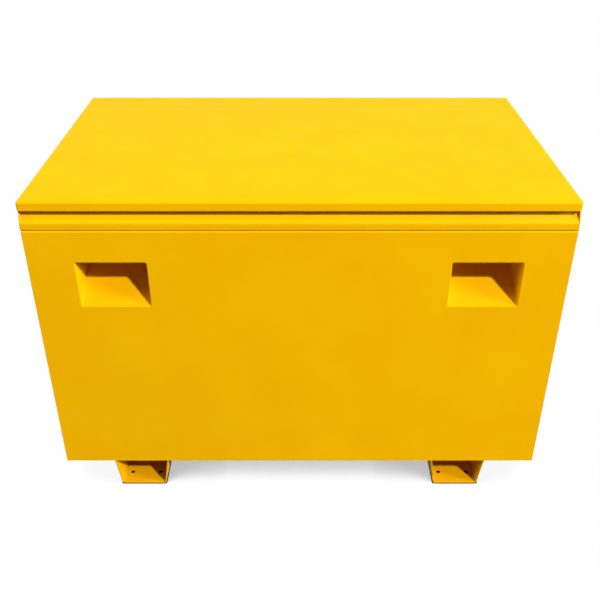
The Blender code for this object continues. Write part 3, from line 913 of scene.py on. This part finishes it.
@dataclass
class Skid:
    """Channel skid folded from thicker sheet, open at its ends, stitch-welded to the floor."""

    side: Side
    sheet: float = 0.003
    foot: float = 0.116
    mouth: float = 0.140
    hole_radius: float = 0.0055
    hole_spacing: float = 0.076
    hole_from_end: float = 0.040
    edge: float = EDGE * 1.5

    def build(self) -> None:
        """Build and dress the skid."""
        node = f"{self.side.word}_skid"
        low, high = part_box(node)
        middle = (low.x + high.x) / 2
        lean = (self.mouth - self.foot) / 2 / high.z
        wall_top = high.z + self.sheet
        reach = self.foot / 2 + lean * wall_top
        section = [
            (middle - reach, wall_top),
            (middle - self.foot / 2, low.z),
            (middle + self.foot / 2, low.z),
            (middle + reach, wall_top),
        ]
        mesh = drawn(section, Axis.Y, (low.y, high.y), (-1, 0, 0))
        folds(mesh, BEND + self.sheet - SHEET)
        # Painted shade: the skids take the darker copy of the yellow coat.
        skid = piece(f"{node}_channel", mesh, SHADED_SKID_YELLOW, Body.CHEST, node)
        thicken(skid, self.sheet)
        over = (
            (low.x - BEYOND, low.y - BEYOND, high.z),
            (high.x + BEYOND, high.y + BEYOND, high.z + BEYOND),
        )
        cut(skid, blocks(over))
        holes = []
        for across in (-self.hole_spacing / 2, self.hole_spacing / 2):
            for along in (low.y + self.hole_from_end, high.y - self.hole_from_end):
                place = Vector((middle + across, along, low.z))
                holes.append((place - Vector((0, 0, BEYOND)), place + Vector((0, 0, BEYOND / 2))))
        cut(skid, bars(self.hole_radius, *holes))
        soften(skid, self.edge)


@dataclass
class LidShell:
    """Flat lid with flanges folded down on its four sides and welded at the corners."""

    bend: float = 0.006

    def build(self) -> None:
        """Build and dress the lid's shell."""
        low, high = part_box("lid_shell")
        mesh = blocks((low, high))
        gone = [face for face in mesh.faces if face.normal.z < -FACING]
        bmesh.ops.delete(mesh, geom=gone, context="FACES")
        round_off(mesh, [edge for edge in mesh.edges if len(edge.link_faces) == 2], self.bend)
        shell = piece("lid_shell_sheet", mesh, YELLOW, Body.LID, "lid_shell")
        thicken(shell)
        soften(shell)


@dataclass
class LidSeal:
    """Foam rubber strip under the lid, its lower side rounded."""

    node: str
    bulge: float = 0.0032

    def build(self) -> None:
        """Build and dress the strip."""
        low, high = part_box(self.node)
        mesh = blocks((low, high))
        lower = [edge for edge in mesh.edges if all(vert.co.z < low.z + MERGE for vert in edge.verts)]
        round_off(mesh, lower, self.bulge)
        strip = piece(f"{self.node}_strip", mesh, RUBBER, Body.LID, self.node)
        soften(strip)


@dataclass
class Hinge:
    """Continuous hinge on the back: two rolled leaves on one pin, riveted to lid and chest."""

    pivot: Vector
    radius: float = 0.0055
    sheet: float = 0.002
    leaf_height: float = 0.019
    clearance: float = 0.0005
    knuckles: int = 15
    roll: float = radians(300)
    roll_steps: int = 30
    rivets: int = 14
    rivet_radius: float = 0.0034
    rivet_rise: float = 0.0016
    rivet_rings: int = 4
    rivet_facets: int = 16
    edge: float = EDGE / 2

    def build(self) -> None:
        """Build and dress both leaves and their rivets."""
        self.leaf("hinge_body_leaf", Body.CHEST, -1, 1)
        self.leaf("hinge_lid_leaf", Body.LID, 1, 0)

    def leaf(self, node: str, body: Body, upwards: int, first_gap: int) -> None:
        """Build a leaf.

        Args:
            node: Frame node that it stands for.
            body: Body that it rides on.
            upwards: 1 for the leaf above the pin, -1 for the one below.
            first_gap: Index of the first knuckle that belongs to the other leaf.
        """
        low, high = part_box(node)
        mesh = bmesh.new()
        line = self.pivot.y - self.radius
        height = self.pivot.z + upwards * self.leaf_height
        ends = [mesh.verts.new((x, line, height)) for x in (low.x, high.x)]
        start = [mesh.edges.new(ends)]
        tangent = extruded(mesh, start, Vector((0.0, 0.0, -upwards * self.leaf_height)))
        bmesh.ops.spin(
            mesh,
            geom=list(tangent) + list(tangent[0].verts),
            cent=self.pivot,
            axis=(1.0, 0.0, 0.0),
            angle=upwards * self.roll,
            steps=self.roll_steps,
        )
        bmesh.ops.recalc_face_normals(mesh, faces=mesh.faces)
        if ends[0].link_faces[0].normal.y > 0:
            bmesh.ops.reverse_faces(mesh, faces=mesh.faces)
        made = piece(f"{node}_rolled", mesh, ZINC, body, node)
        thicken(made, self.sheet)
        pitch = (high.x - low.x) / self.knuckles
        brink = self.pivot.z + upwards * (self.radius + self.clearance)
        gaps = []
        for knuckle in range(first_gap, self.knuckles, 2):
            left = low.x + pitch * knuckle
            corner = (left - FIT, self.pivot.y - BEYOND, brink)
            opposite = (left + pitch + FIT, self.pivot.y + BEYOND, brink - upwards * BEYOND)
            gaps.append((corner, opposite))
        cut(made, blocks(*gaps))
        soften(made, self.edge)
        self.rivet_row(node, body, upwards, low.x, high.x)

    def rivet_row(self, node: str, body: Body, upwards: int, left: float, right: float) -> None:
        """Set a row of dome rivets in a leaf.

        Args:
            node: Frame node of the leaf.
            body: Body that the rivets ride on.
            upwards: 1 for the leaf above the pin, -1 for the one below.
            left: The leaf's left end.
            right: The leaf's right end.
        """
        face = self.pivot.y - self.radius + self.sheet
        height = self.pivot.z + upwards * (self.radius + self.leaf_height) / 2
        pitch = (right - left) / self.rivets
        sphere = (self.rivet_radius**2 + self.rivet_rise**2) / (2 * self.rivet_rise)
        dome = arc(sphere, asin(self.rivet_radius / sphere), 0.0, self.rivet_rings)
        drop = sphere - self.rivet_rise
        profile = [(0.0, 0.0), *((across, rise - drop) for across, rise in dome)]
        heads = []
        for index in range(self.rivets):
            place = Vector((left + pitch * (index + 0.5), face, height))
            head = turned(profile, self.rivet_facets)
            head.transform(Matrix.Translation(place) @ Matrix.Rotation(-pi / 2, 4, "X"))
            heads.append(head)
        made = piece(f"{node}_rivets", gather(heads), ZINC, body)
        soften(made, 0.0)


@dataclass
class GasStrut:
    """Gas strut: tube with a rolled gland end, chromed rod, and a ball socket at each end."""

    side: Side
    foot: Vector
    head: Vector
    tube_radius: float = 0.009
    tube_wall: float = 0.0015
    tube_end: float = 0.0183  # from the ball's middle
    rod_radius: float = 0.004
    rod_showing: float = 0.012
    gland: float = 0.018
    crimp: float = 0.0008
    piston: float = 0.012
    piston_free: float = 0.003
    socket_radius: float = 0.008
    socket_back: float = 0.0075
    socket_mouth: float = 0.0042
    shank_radius: float = 0.0045
    socket_straight: float = 0.60  # of its back, before the cup's chamfer
    socket_crown: float = 0.85  # of its radius, inside the chamfer
    hollow_rings: int = 12
    ball_radius: float = 0.005
    ball_clearance: float = 0.0004
    edge: float = EDGE / 2

    def build(self) -> None:
        """Build and dress the strut's pieces."""
        word = self.side.word
        tube_body = Body(f"{word}_strut_tube")
        rod_body = Body(f"{word}_strut_piston")
        length = (self.head - self.foot).length
        tilt = Matrix.Rotation(STRUT_TILT, 4, "X")
        at_foot = Matrix.Translation(self.foot) @ tilt
        at_head = Matrix.Translation(self.head) @ tilt
        top = length - self.tube_end - self.rod_showing
        self.round_piece(f"{word}_strut_cylinder", self.tube_profile(top), LACQUER, tube_body, at_foot)
        ring = self.gland_profile(top)
        self.round_piece(f"{word}_strut_gland", ring, NYLON, tube_body, at_foot, ring=True)
        self.round_piece(f"{word}_strut_rod", self.rod_profile(length), CHROME, rod_body, at_head)
        self.socket(f"{word}_strut_cylinder_socket", tube_body, at_foot, self.side.value, 1)
        self.socket(f"{word}_strut_rod_socket", rod_body, at_head, -self.side.value, -1)

    def round_piece(
        self,
        node: str,
        profile: Outline,
        finish: Finish,
        body: Body,
        place: Matrix,
        ring: bool = False,
    ) -> None:
        """Turn a profile and set it on the strut's line.

        Args:
            node: Frame node that the piece stands for.
            profile: Points of radius and height.
            finish: The piece's finish.
            body: Body that it rides on.
            place: Place and turn of the profile's own frame.
            ring: Whether the profile closes on itself.
        """
        mesh = turned(profile, ring=ring)
        mesh.transform(place)
        made = piece(f"{node}_turned", mesh, finish, body, node)
        soften(made, self.edge)

    def tube_profile(self, top: float) -> list[tuple[float, float]]:
        """Outline of the tube, from its closed lower end to the edge rolled over the gland.

        Args:
            top: The tube's upper end, from the lower ball.

        Returns:
            Points of radius and height.
        """
        radius = self.tube_radius
        bore = radius - self.tube_wall
        low = self.tube_end
        groove = top - self.gland / 2
        return [
            (0.0, low),
            (radius - 2 * self.tube_wall, low),
            (radius - self.tube_wall / 2, low + self.tube_wall / 2),
            (radius, low + 2 * self.tube_wall),
            (radius, groove - 2 * self.crimp),
            (radius - self.crimp, groove - self.crimp / 2),
            (radius - self.crimp, groove + self.crimp / 2),
            (radius, groove + 2 * self.crimp),
            (radius, top - self.tube_wall),
            (radius - self.tube_wall / 3, top - self.tube_wall / 3),
            (radius - self.tube_wall, top),
            (bore - self.crimp, top),
            (bore - self.crimp, top - self.tube_wall / 2),
            (bore, top - self.tube_wall),
            (bore, low + self.tube_wall),
            (0.0, low + self.tube_wall),
        ]

    def gland_profile(self, top: float) -> list[tuple[float, float]]:
        """Outline of the ring that guides the rod, under the tube's rolled edge.

        Args:
            top: The tube's upper end, from the lower ball.

        Returns:
            Points of radius and height.
        """
        outer = self.tube_radius - self.tube_wall - FIT
        inner = self.rod_radius + FIT
        high = top - self.tube_wall
        return [(outer, high), (outer, top - self.gland), (inner, top - self.gland), (inner, high)]

    def rod_profile(self, length: float) -> list[tuple[float, float]]:
        """Outline of the rod and piston, down from the ball under the lid.

        Args:
            length: Distance of the two balls.

        Returns:
            Points of radius and height.
        """
        top = -self.tube_end
        low = self.tube_end + self.tube_wall + self.piston_free - length
        bore = self.tube_radius - self.tube_wall - 2 * FIT
        return [
            (0.0, top),
            (self.rod_radius, top),
            (self.rod_radius, low + self.piston),
            (bore, low + self.piston),
            (bore, low),
            (0.0, low),
        ]

    def socket(self, node: str, body: Body, place: Matrix, mouth_side: int, upwards: int) -> None:
        """Build a ball socket: a cup over the stud's ball and a shank to the strut's end.

        Args:
            node: Frame node that it stands for.
            body: Body that it rides on.
            place: Place and turn of the strut's frame at this end.
            mouth_side: 1 where the cup opens to +X, -1 where it opens to -X.
            upwards: 1 where the shank goes up the strut's line, -1 where it goes down.
        """
        hollow = self.ball_radius + self.ball_clearance
        mouth = sqrt(hollow**2 - self.socket_mouth**2)
        back = self.socket_back
        profile = arc(hollow, pi, asin(mouth / hollow), self.hollow_rings)
        profile += [
            (self.socket_radius - EDGE, self.socket_mouth),
            (self.socket_radius, self.socket_mouth - EDGE),
            (self.socket_radius, -back * self.socket_straight),
            (self.socket_radius * self.socket_crown, -back),
            (0.0, -back),
        ]
        mesh = turned(profile)
        mesh.transform(place @ Matrix.Rotation(mouth_side * pi / 2, 4, "Y"))
        cup = piece(f"{node}_moulded", mesh, NYLON, body, node)
        inside = upwards * (hollow + self.socket_radius) / 2
        outside = upwards * (self.tube_end - FIT)
        shank = bars(self.shank_radius, ((0.0, 0.0, inside), (0.0, 0.0, outside)))
        shank.transform(place)
        cut(cup, shank, "UNION")
        soften(cup, self.edge)


@dataclass
class BallStud:
    """Ball stud with a collar and a thread that takes a nut."""

    node: str
    body: Body
    ball: Vector
    shank_side: int
    radius: float = 0.005
    neck: float = 0.003
    seat: float = 0.012
    collar_radius: float = 0.006
    collar: float = 0.004
    thread_radius: float = 0.004
    thread_depth: float = 0.0005
    thread_pitch: float = 0.00125
    thread_end: float = 0.0226
    ball_rings: int = 14
    facets: int = 24
    edge: float = EDGE / 4

    def build(self) -> None:
        """Build and dress the stud."""
        profile = [(0.0, self.thread_end), (self.thread_radius - self.thread_depth, self.thread_end)]
        crest = self.thread_end - self.thread_pitch / 2
        while crest > self.seat + self.thread_pitch:
            profile.append((self.thread_radius, crest))
            profile.append((self.thread_radius - self.thread_depth, crest - self.thread_pitch / 2))
            crest -= self.thread_pitch
        profile += [
            (self.thread_radius - self.thread_depth, self.seat),
            (self.collar_radius, self.seat),
            (self.collar_radius, self.seat - self.collar),
            (self.neck, self.seat - self.collar),
        ]
        profile += arc(self.radius, asin(self.neck / self.radius), pi, self.ball_rings)
        mesh = turned(profile, self.facets)
        mesh.transform(Matrix.Translation(self.ball) @ Matrix.Rotation(self.shank_side * pi / 2, 4, "Y"))
        made = piece(f"{self.node}_turned", mesh, ZINC, self.body, self.node)
        soften(made, self.edge)


@dataclass
class FilletWeld:
    """Fillet weld along the corner between a plate's edge and a sheet, laid in ripples."""

    root: Vector
    along: Vector
    legs: tuple[Vector, Vector]
    length: float
    leg: float = 0.0028
    ripple: float = 0.0026
    dip: float = 0.92  # size between ripples
    taper: float = 0.50  # size at the ends
    fullness: float = 0.85  # 1 for a face that is round about the root

    def mesh(self) -> Mesh:
        """Shape the bead, thicker and thinner by turns and drawn in at its ends.

        Returns:
            The closed bead.
        """
        first, second = (leg * self.leg for leg in self.legs)
        steps = 2 * round(self.length / self.ripple)
        sizes = [self.taper, *(self.dip if step % 2 else 1.0 for step in range(steps - 1)), self.taper]
        travel = self.along * (self.length / steps)
        place = self.root - self.along * (self.length / 2)
        face_points = [Vector(), first]
        for angle in (pi / 6, pi / 3):
            face_points.append((first * cos(angle) + second * sin(angle)) * self.fullness)
        face_points.append(second)
        mesh = bmesh.new()
        face = mesh.faces.new([mesh.verts.new(place + point * self.taper) for point in face_points])
        for step, (before, size) in enumerate(zip(sizes, sizes[1:])):
            made = bmesh.ops.extrude_face_region(mesh, geom=[face])["geom"]
            if step:  # the first face stays, and closes the bead
                bmesh.ops.delete(mesh, geom=[face], context="FACES_ONLY")
            face = next(item for item in made if isinstance(item, bmesh.types.BMFace))
            bmesh.ops.translate(mesh, vec=travel, verts=face.verts)
            place = place + travel
            growth = Vector((1.0, 1.0, 1.0)) * (size / before)
            bmesh.ops.scale(mesh, vec=growth, space=Matrix.Translation(-place), verts=face.verts)
        bmesh.ops.recalc_face_normals(mesh, faces=mesh.faces)
        return mesh


@dataclass
class Welds:
    """Welds on one side of the chest: beads round brackets and skids, and rows of spots."""

    side: Side
    gap: float = 0.0001
    stitch: float = 0.050
    stitches: int = 4
    stitch_leg: float = 0.004
    wall_lean: float = 0.15
    mount_share: float = 0.9  # of an edge's length that its bead takes
    foot_share: float = 0.8
    foot_end_share: float = 0.5
    flange: float = 0.020
    lap: float = 0.025
    spot_pitch: float = 0.070
    spot_radius: float = 0.0034
    spot_rise: float = 0.0004
    spot_facets: int = 16

    # Outline of a spot, in shares of its radius and its rise.
    spot_outline: ClassVar[tuple[tuple[float, float], ...]] = (
        (0.0, 0.0),
        (1.0, 0.0),
        (0.8, 1.0),
        (0.55, 0.5),
        (0.0, 0.4),
    )

    def build(self) -> None:
        """Build and dress all the welds of this side."""
        word = self.side.word
        self.lay(f"{word}_skid_welds", Body.CHEST, self.skid())
        self.lay(f"{word}_strut_mount_welds", Body.CHEST, self.mount())
        self.lay(f"{word}_strut_bracket_welds", Body.LID, self.foot(f"{word}_lid_strut_bracket", Axis.Y))
        self.lay(f"{word}_lock_tongue_welds", Body.LID, self.foot(f"{word}_lock_tongue", Axis.X))
        self.stiffener_spots()
        self.lip_spots()

    def lay(self, name: str, body: Body, welds: Sequence[FilletWeld]) -> None:
        """Make one piece of some beads.

        Args:
            name: The piece's name.
            body: Body that it rides on.
            welds: The beads.
        """
        soften(piece(name, gather(weld.mesh() for weld in welds), YELLOW, body), 0.0)

    def skid(self) -> list[FilletWeld]:
        """Plan the stitches under the floor, along both walls of the skid.

        Returns:
            The beads.
        """
        low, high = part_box(f"{self.side.word}_skid")
        pitch = (high.y - low.y) / self.stitches
        welds = []
        for edge, outwards in ((low.x, -1.0), (high.x, 1.0)):
            across = Vector((outwards, 0.0, 0.0))
            wall = Vector((-outwards * self.wall_lean, 0.0, -1.0)).normalized()
            for index in range(self.stitches):
                middle = low.y + pitch * (index + 0.5)
                root = Vector((edge + outwards * self.gap, middle, high.z + self.gap))
                line = Vector((0.0, 1.0, 0.0))
                welds.append(FilletWeld(root, line, (across, wall), self.stitch, self.stitch_leg))
        return welds

    def mount(self) -> list[FilletWeld]:
        """Plan the beads up both flanges of the strut's mount on the end panel.

        Returns:
            The beads.
        """
        low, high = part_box(f"{self.side.word}_strut_mount")
        wall = high.x if self.side is Side.RIGHT else low.x
        inwards = Vector((-self.side.value, 0.0, 0.0))
        welds = []
        for edge, outwards in ((low.y, -1.0), (high.y, 1.0)):
            root = Vector((wall, edge + outwards * self.gap, (low.z + high.z) / 2))
            legs = (Vector((0.0, outwards, 0.0)), inwards)
            length = (high.z - low.z) * self.mount_share
            welds.append(FilletWeld(root, Vector((0.0, 0.0, 1.0)), legs, length))
        return welds

    def foot(self, node: str, along: Axis) -> list[FilletWeld]:
        """Plan the beads under the lid, on three sides of the foot of an angle plate.

        Args:
            node: Frame node of the plate.
            along: Axis of the plate's bend.

        Returns:
            The bead on the foot's free edge and those on both its ends.
        """
        low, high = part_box(node)
        middle = (low + high) / 2
        other = Axis.Y if along is Axis.X else Axis.X
        free = -self.side.value if along is Axis.Y else 1
        down = Vector((0.0, 0.0, -1.0))
        edges = ((along, other, (free,), self.foot_share), (other, along, (-1, 1), self.foot_end_share))
        welds = []
        for run, across, signs, share in edges:
            for sign in signs:
                root = Vector((middle.x, middle.y, high.z))
                outwards = Vector()
                outwards[across.value] = sign
                edge = high if sign > 0 else low
                root[across.value] = edge[across.value] + sign * self.gap
                line = Vector()
                line[run.value] = 1.0
                length = (high[run.value] - low[run.value]) * share
                welds.append(FilletWeld(root, line, (outwards, down), length))
        return welds

    def stiffener_spots(self) -> None:
        """Spots on both flanges of the lid's stiffener."""
        low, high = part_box(f"{self.side.word}_lid_stiffener")
        face = high.z - SHEET
        lines = []
        for across in (low.x + self.flange / 2, high.x - self.flange / 2):
            lines.append(((across, low.y, face), (across, high.y, face)))
        self.spots(f"{self.side.word}_lid_stiffener_spots", Body.LID, lines, Vector((0.0, 0.0, -1.0)))

    def lip_spots(self) -> None:
        """Spots on the lap of the end's weather lip, and on this half of the back's."""
        word = self.side.word
        low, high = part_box(f"{word}_weather_lip")
        face = self.side.value * (max(-low.x, high.x) - SHEET)
        height = low.z + self.lap / 2
        line = ((face, low.y, height), (face, high.y, height))
        self.spots(f"{word}_end_lip_spots", Body.CHEST, [line], Vector((-self.side.value, 0.0, 0.0)))
        low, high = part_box("back_weather_lip")
        face = high.y - SHEET
        line = ((0.0, face, height), (self.side.value * high.x, face, height))
        self.spots(f"{word}_back_lip_spots", Body.CHEST, [line], Vector((0.0, -1.0, 0.0)))

    def spots(self, name: str, body: Body, lines: Sequence[Span], outwards: Vector) -> None:
        """Set rows of spot welds: shallow rings with a dished middle.

        Args:
            name: The piece's name.
            body: Body that it rides on.
            lines: Both ends of each row, on the sheet's face.
            outwards: The way that the face looks.
        """
        profile = [(self.spot_radius * out, self.spot_rise * up) for out, up in self.spot_outline]
        turn = Vector((0.0, 0.0, 1.0)).rotation_difference(outwards).to_matrix().to_4x4()
        made = []
        for start, end in lines:
            first = Vector(start)
            last = Vector(end)
            count = round((last - first).length / self.spot_pitch)
            for index in range(count):
                spot = turned(profile, self.spot_facets)
                spot.transform(Matrix.Translation(first.lerp(last, (index + 0.5) / count)) @ turn)
                made.append(spot)
        soften(piece(name, gather(made), YELLOW, body), 0.0)


@dataclass
class CarriedNodes:
    """Frame nodes whose shape is right: they take a finish and rounded edges."""

    finish: Finish
    names: Sequence[str]
    edge: float = EDGE
    flat: float = radians(0.5)  # facets within this are one flat

    def dress(self, nodes: dict[str, bpy.types.Object]) -> None:
        """Finish the nodes.

        Args:
            nodes: Frame nodes by name.
        """
        for name in self.names:
            node = nodes[name]
            node.data.materials.clear()
            node.data.materials.append(self.finish.material())
            weld = node.modifiers.new("weld", "WELD")
            weld.merge_threshold = MERGE
            facets = node.modifiers.new("facets", "DECIMATE")
            facets.decimate_type = "DISSOLVE"
            facets.angle_limit = self.flat
            soften(node, self.edge)
            LOG.info("node %s keeps its shape", name)


# Studio


@dataclass(frozen=True)
class Lamp:
    """Soft round lamp that looks at the chest."""

    name: str
    towards: tuple[float, float, float]
    distance: float
    size: float
    level: float  # 1 shows a white surface that faces the lamp as white
    mirrored: bool = True  # whether shiny surfaces show the lamp

    def hang(self, aim: Sequence[float]) -> None:
        """Hang the lamp.

        Args:
            aim: Point that it looks at.
        """
        data = bpy.data.lights.new(self.name, "AREA")
        data.shape = "DISK"
        data.size = self.size
        data.energy = self.level * (pi * self.distance) ** 2
        made = bpy.data.objects.new(self.name, data)
        towards = Vector(self.towards).normalized()
        made.location = Vector(aim) + towards * self.distance
        made.rotation_euler = towards.to_track_quat("Z", "Y").to_euler()
        made.visible_glossy = self.mirrored
        bpy.context.scene.collection.objects.link(made)


@dataclass(frozen=True)
class Shade:
    """Shade on the floor, close to what stands over it."""

    reach: float  # how far away a thing still shades the floor
    dark: float  # openness of the floor where the brightness is least
    bright: float  # openness of the floor where it is 1
    least: float  # least brightness
    samples: int = 16

    def brightness(self, tree: Tree) -> Socket:
        """Work out the floor's brightness from its openness.

        Args:
            tree: Tree that takes the nodes.

        Returns:
            The brightness.
        """
        around = {"Distance": self.reach}
        openness = add_node(tree, "ShaderNodeAmbientOcclusion", around, samples=self.samples).outputs["AO"]
        fading = {"Value": openness, "From Min": self.dark, "From Max": self.bright, "To Min": self.least}
        faded = add_node(tree, "ShaderNodeMapRange", fading, interpolation_type="SMOOTHSTEP")
        return faded.outputs["Result"]


@dataclass
class Studio:
    """Camera, lamps, floor and surroundings."""

    lens: float = 47.28  # mm, as the sensor
    sensor: float = 36.0
    camera_place: tuple[float, float, float] = (0.0011, -1.9248, 1.5183)
    camera_pitch: float = radians(58.616)
    aim: tuple[float, float, float] = (0.0, 0.0, 0.45)
    sky_level: float = 0.12
    floor_size: float = 60.0
    floor_colour: str = "#303030"
    soft_shade: Shade = Shade(0.16, 0.20, 0.57, 0.50)
    contact_shade: Shade = Shade(0.004, 0.82, 0.98, 0.08)
    beside_skids: float = 0.93  # least brightness of the floor past the skids

    lamps: ClassVar[tuple[Lamp, ...]] = (
        Lamp("key_lamp", (0.86, -1.00, 1.10), 10.0, 0.55, 0.95),
        Lamp("side_lamp", (1.00, -0.35, 0.38), 14.0, 3.5, 0.61, mirrored=False),
        Lamp("top_lamp", (0.05, -0.25, 1.00), 8.0, 4.5, 0.14),
        Lamp("back_lamp", (-0.70, 1.00, 0.20), 12.0, 4.0, 0.92, mirrored=False),
        Lamp("left_lamp", (-1.00, -0.10, 0.20), 12.0, 4.0, 0.55, mirrored=False),
    )

    def build(self) -> None:
        """Set up everything around the chest."""
        bpy.context.scene.view_settings.view_transform = "Standard"
        self.camera()
        for lamp in self.lamps:
            lamp.hang(self.aim)
        self.surroundings()
        self.floor()

    def camera(self) -> None:
        """Set the camera at the photograph's angle."""
        data = bpy.data.cameras.new("camera")
        data.lens = self.lens
        data.sensor_width = self.sensor
        made = bpy.data.objects.new("camera", data)
        made.location = self.camera_place
        made.rotation_euler = (self.camera_pitch, 0.0, 0.0)
        bpy.context.scene.collection.objects.link(made)
        bpy.context.scene.camera = made

    def seen(self, tree: Tree) -> Socket:
        """Mark the rays that show a surface: from the camera, or off metal and through glass.

        Args:
            tree: Tree that takes the nodes.

        Returns:
            1 for such a ray, and 0 for any other.
        """
        rays = add_node(tree, "ShaderNodeLightPath").outputs
        mirrored = {0: rays["Is Glossy Ray"], 1: rays["Is Transmission Ray"]}
        either = add_node(tree, "ShaderNodeMath", mirrored, operation="MAXIMUM").outputs[0]
        shown = {0: rays["Is Camera Ray"], 1: either}
        return add_node(tree, "ShaderNodeMath", shown, operation="MAXIMUM").outputs[0]

    def surroundings(self) -> None:
        """White to the eye, and a plain soft sky to the chest."""
        world = bpy.data.worlds.new("studio")
        world.use_nodes = True
        bpy.context.scene.world = world
        tree = world.node_tree
        tree.nodes.clear()
        white = linear("#FFFFFF")
        sky = add_node(tree, "ShaderNodeBackground", {"Color": white, "Strength": self.sky_level})
        backdrop = add_node(tree, "ShaderNodeBackground", {"Color": white, "Strength": 1.0})
        shaders = {0: self.seen(tree), 1: sky.outputs[0], 2: backdrop.outputs[0]}
        mixed = add_node(tree, "ShaderNodeMixShader", shaders).outputs[0]
        add_node(tree, "ShaderNodeOutputWorld", {"Surface": mixed})

    def around_skids(self, tree: Tree) -> tuple[Socket, Socket]:
        """Limits that the skids set to the floor's brightness.

        Args:
            tree: Tree that takes the nodes.

        Returns:
            The least brightness, which is nearly white past the skids and none between them, and
            the greatest, which is none under their feet and 1 elsewhere.
        """
        low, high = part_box("right_skid")
        middle = (low + high) / 2
        place = add_node(tree, "ShaderNodeTexCoord").outputs["Object"]
        axes = add_node(tree, "ShaderNodeSeparateXYZ", {0: place}).outputs
        across = add_node(tree, "ShaderNodeMath", {0: axes["X"]}, operation="ABSOLUTE").outputs[0]
        fading = {"Value": across, "From Min": middle.x, "From Max": high.x, "To Max": self.beside_skids}
        least = add_node(tree, "ShaderNodeMapRange", fading).outputs["Result"]
        # Painted shade: the floor under the skids' feet shows black, so that their holes read dark.
        foot = {0: across, 1: middle.x, 2: Skid.foot / 2}
        length = {0: axes["Y"], 1: middle.y, 2: (high.y - low.y) / 2}
        within = [add_node(tree, "ShaderNodeMath", span, operation="COMPARE") for span in (foot, length)]
        sides = {index: node.outputs[0] for index, node in enumerate(within)}
        under = add_node(tree, "ShaderNodeMath", sides, operation="MULTIPLY").outputs[0]
        most = add_node(tree, "ShaderNodeMath", {0: 1.0, 1: under}, operation="SUBTRACT").outputs[0]
        return least, most

    def floor(self) -> None:
        """Pale floor that shows white, with the chest's soft shade close under it."""
        mesh = bmesh.new()
        bmesh.ops.create_grid(mesh, x_segments=1, y_segments=1, size=self.floor_size / 2)
        made = loose("studio_floor", mesh)
        material = bpy.data.materials.new("pale_studio_floor")
        material.use_nodes = True
        tree = material.node_tree
        tree.nodes.clear()
        least, most = self.around_skids(tree)
        steps = (
            ("MAXIMUM", least),
            ("MULTIPLY", self.contact_shade.brightness(tree)),
            ("MINIMUM", most),
        )
        shown = self.soft_shade.brightness(tree)
        for operation, other in steps:
            shown = add_node(tree, "ShaderNodeMath", {0: shown, 1: other}, operation=operation).outputs[0]
        glow = add_node(tree, "ShaderNodeEmission", {"Color": linear("#FFFFFF"), "Strength": shown})
        paper = add_node(tree, "ShaderNodeBsdfDiffuse", {"Color": linear(self.floor_colour)})
        shaders = {0: self.seen(tree), 1: paper.outputs[0], 2: glow.outputs[0]}
        mixed = add_node(tree, "ShaderNodeMixShader", shaders).outputs[0]
        add_node(tree, "ShaderNodeOutputMaterial", {"Surface": mixed})
        made.data.materials.append(material)


def main() -> None:
    """Build the chest's looks around its frame."""
    logging.basicConfig(level=logging.INFO, format="%(message)s")
    for existing in list(bpy.data.objects):
        bpy.data.objects.remove(existing, do_unlink=True)
    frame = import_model()
    pivots = {joint["name"]: Vector(joint["pos_m"]) for joint in frame["joints"]}

    Studio().build()

    panel = FrontPanel()
    panel.build()
    FrontRim().build()
    for side in Side:
        LockPocket(side, panel).build()
        Skid(side).build()
    LidShell().build()
    for place in ("front", "back", "left", "right"):
        LidSeal(f"seal_{place}").build()
    Hinge(pivots["lid_hinge"]).build()
    for side in Side:
        foot = pivots[f"{side.word}_strut_foot"]
        head = pivots[f"{side.word}_strut_head"]
        GasStrut(side, foot, head).build()
        BallStud(f"{side.word}_body_ball_stud", Body.CHEST, foot, side.value).build()
        BallStud(f"{side.word}_lid_ball_stud", Body.LID, head, -side.value).build()
        Welds(side).build()

    plates = ["back_panel", "floor_pan", "back_weather_lip"]
    plated = ["hinge_pin"]
    plates_of_a_side = (
        "end_panel",
        "weather_lip",
        "lock_staple",
        "lock_tongue",
        "lid_stiffener",
        "strut_mount",
        "lid_strut_bracket",
    )
    for side in Side:
        plates += [f"{side.word}_{name}" for name in plates_of_a_side]
        plated += [f"{side.word}_{name}" for name in ("body_stud_nut", "lid_stud_nut")]
    CarriedNodes(YELLOW, plates).dress(frame["nodes"])
    CarriedNodes(ZINC, plated).dress(frame["nodes"])


if __name__ == "__main__":
    main()
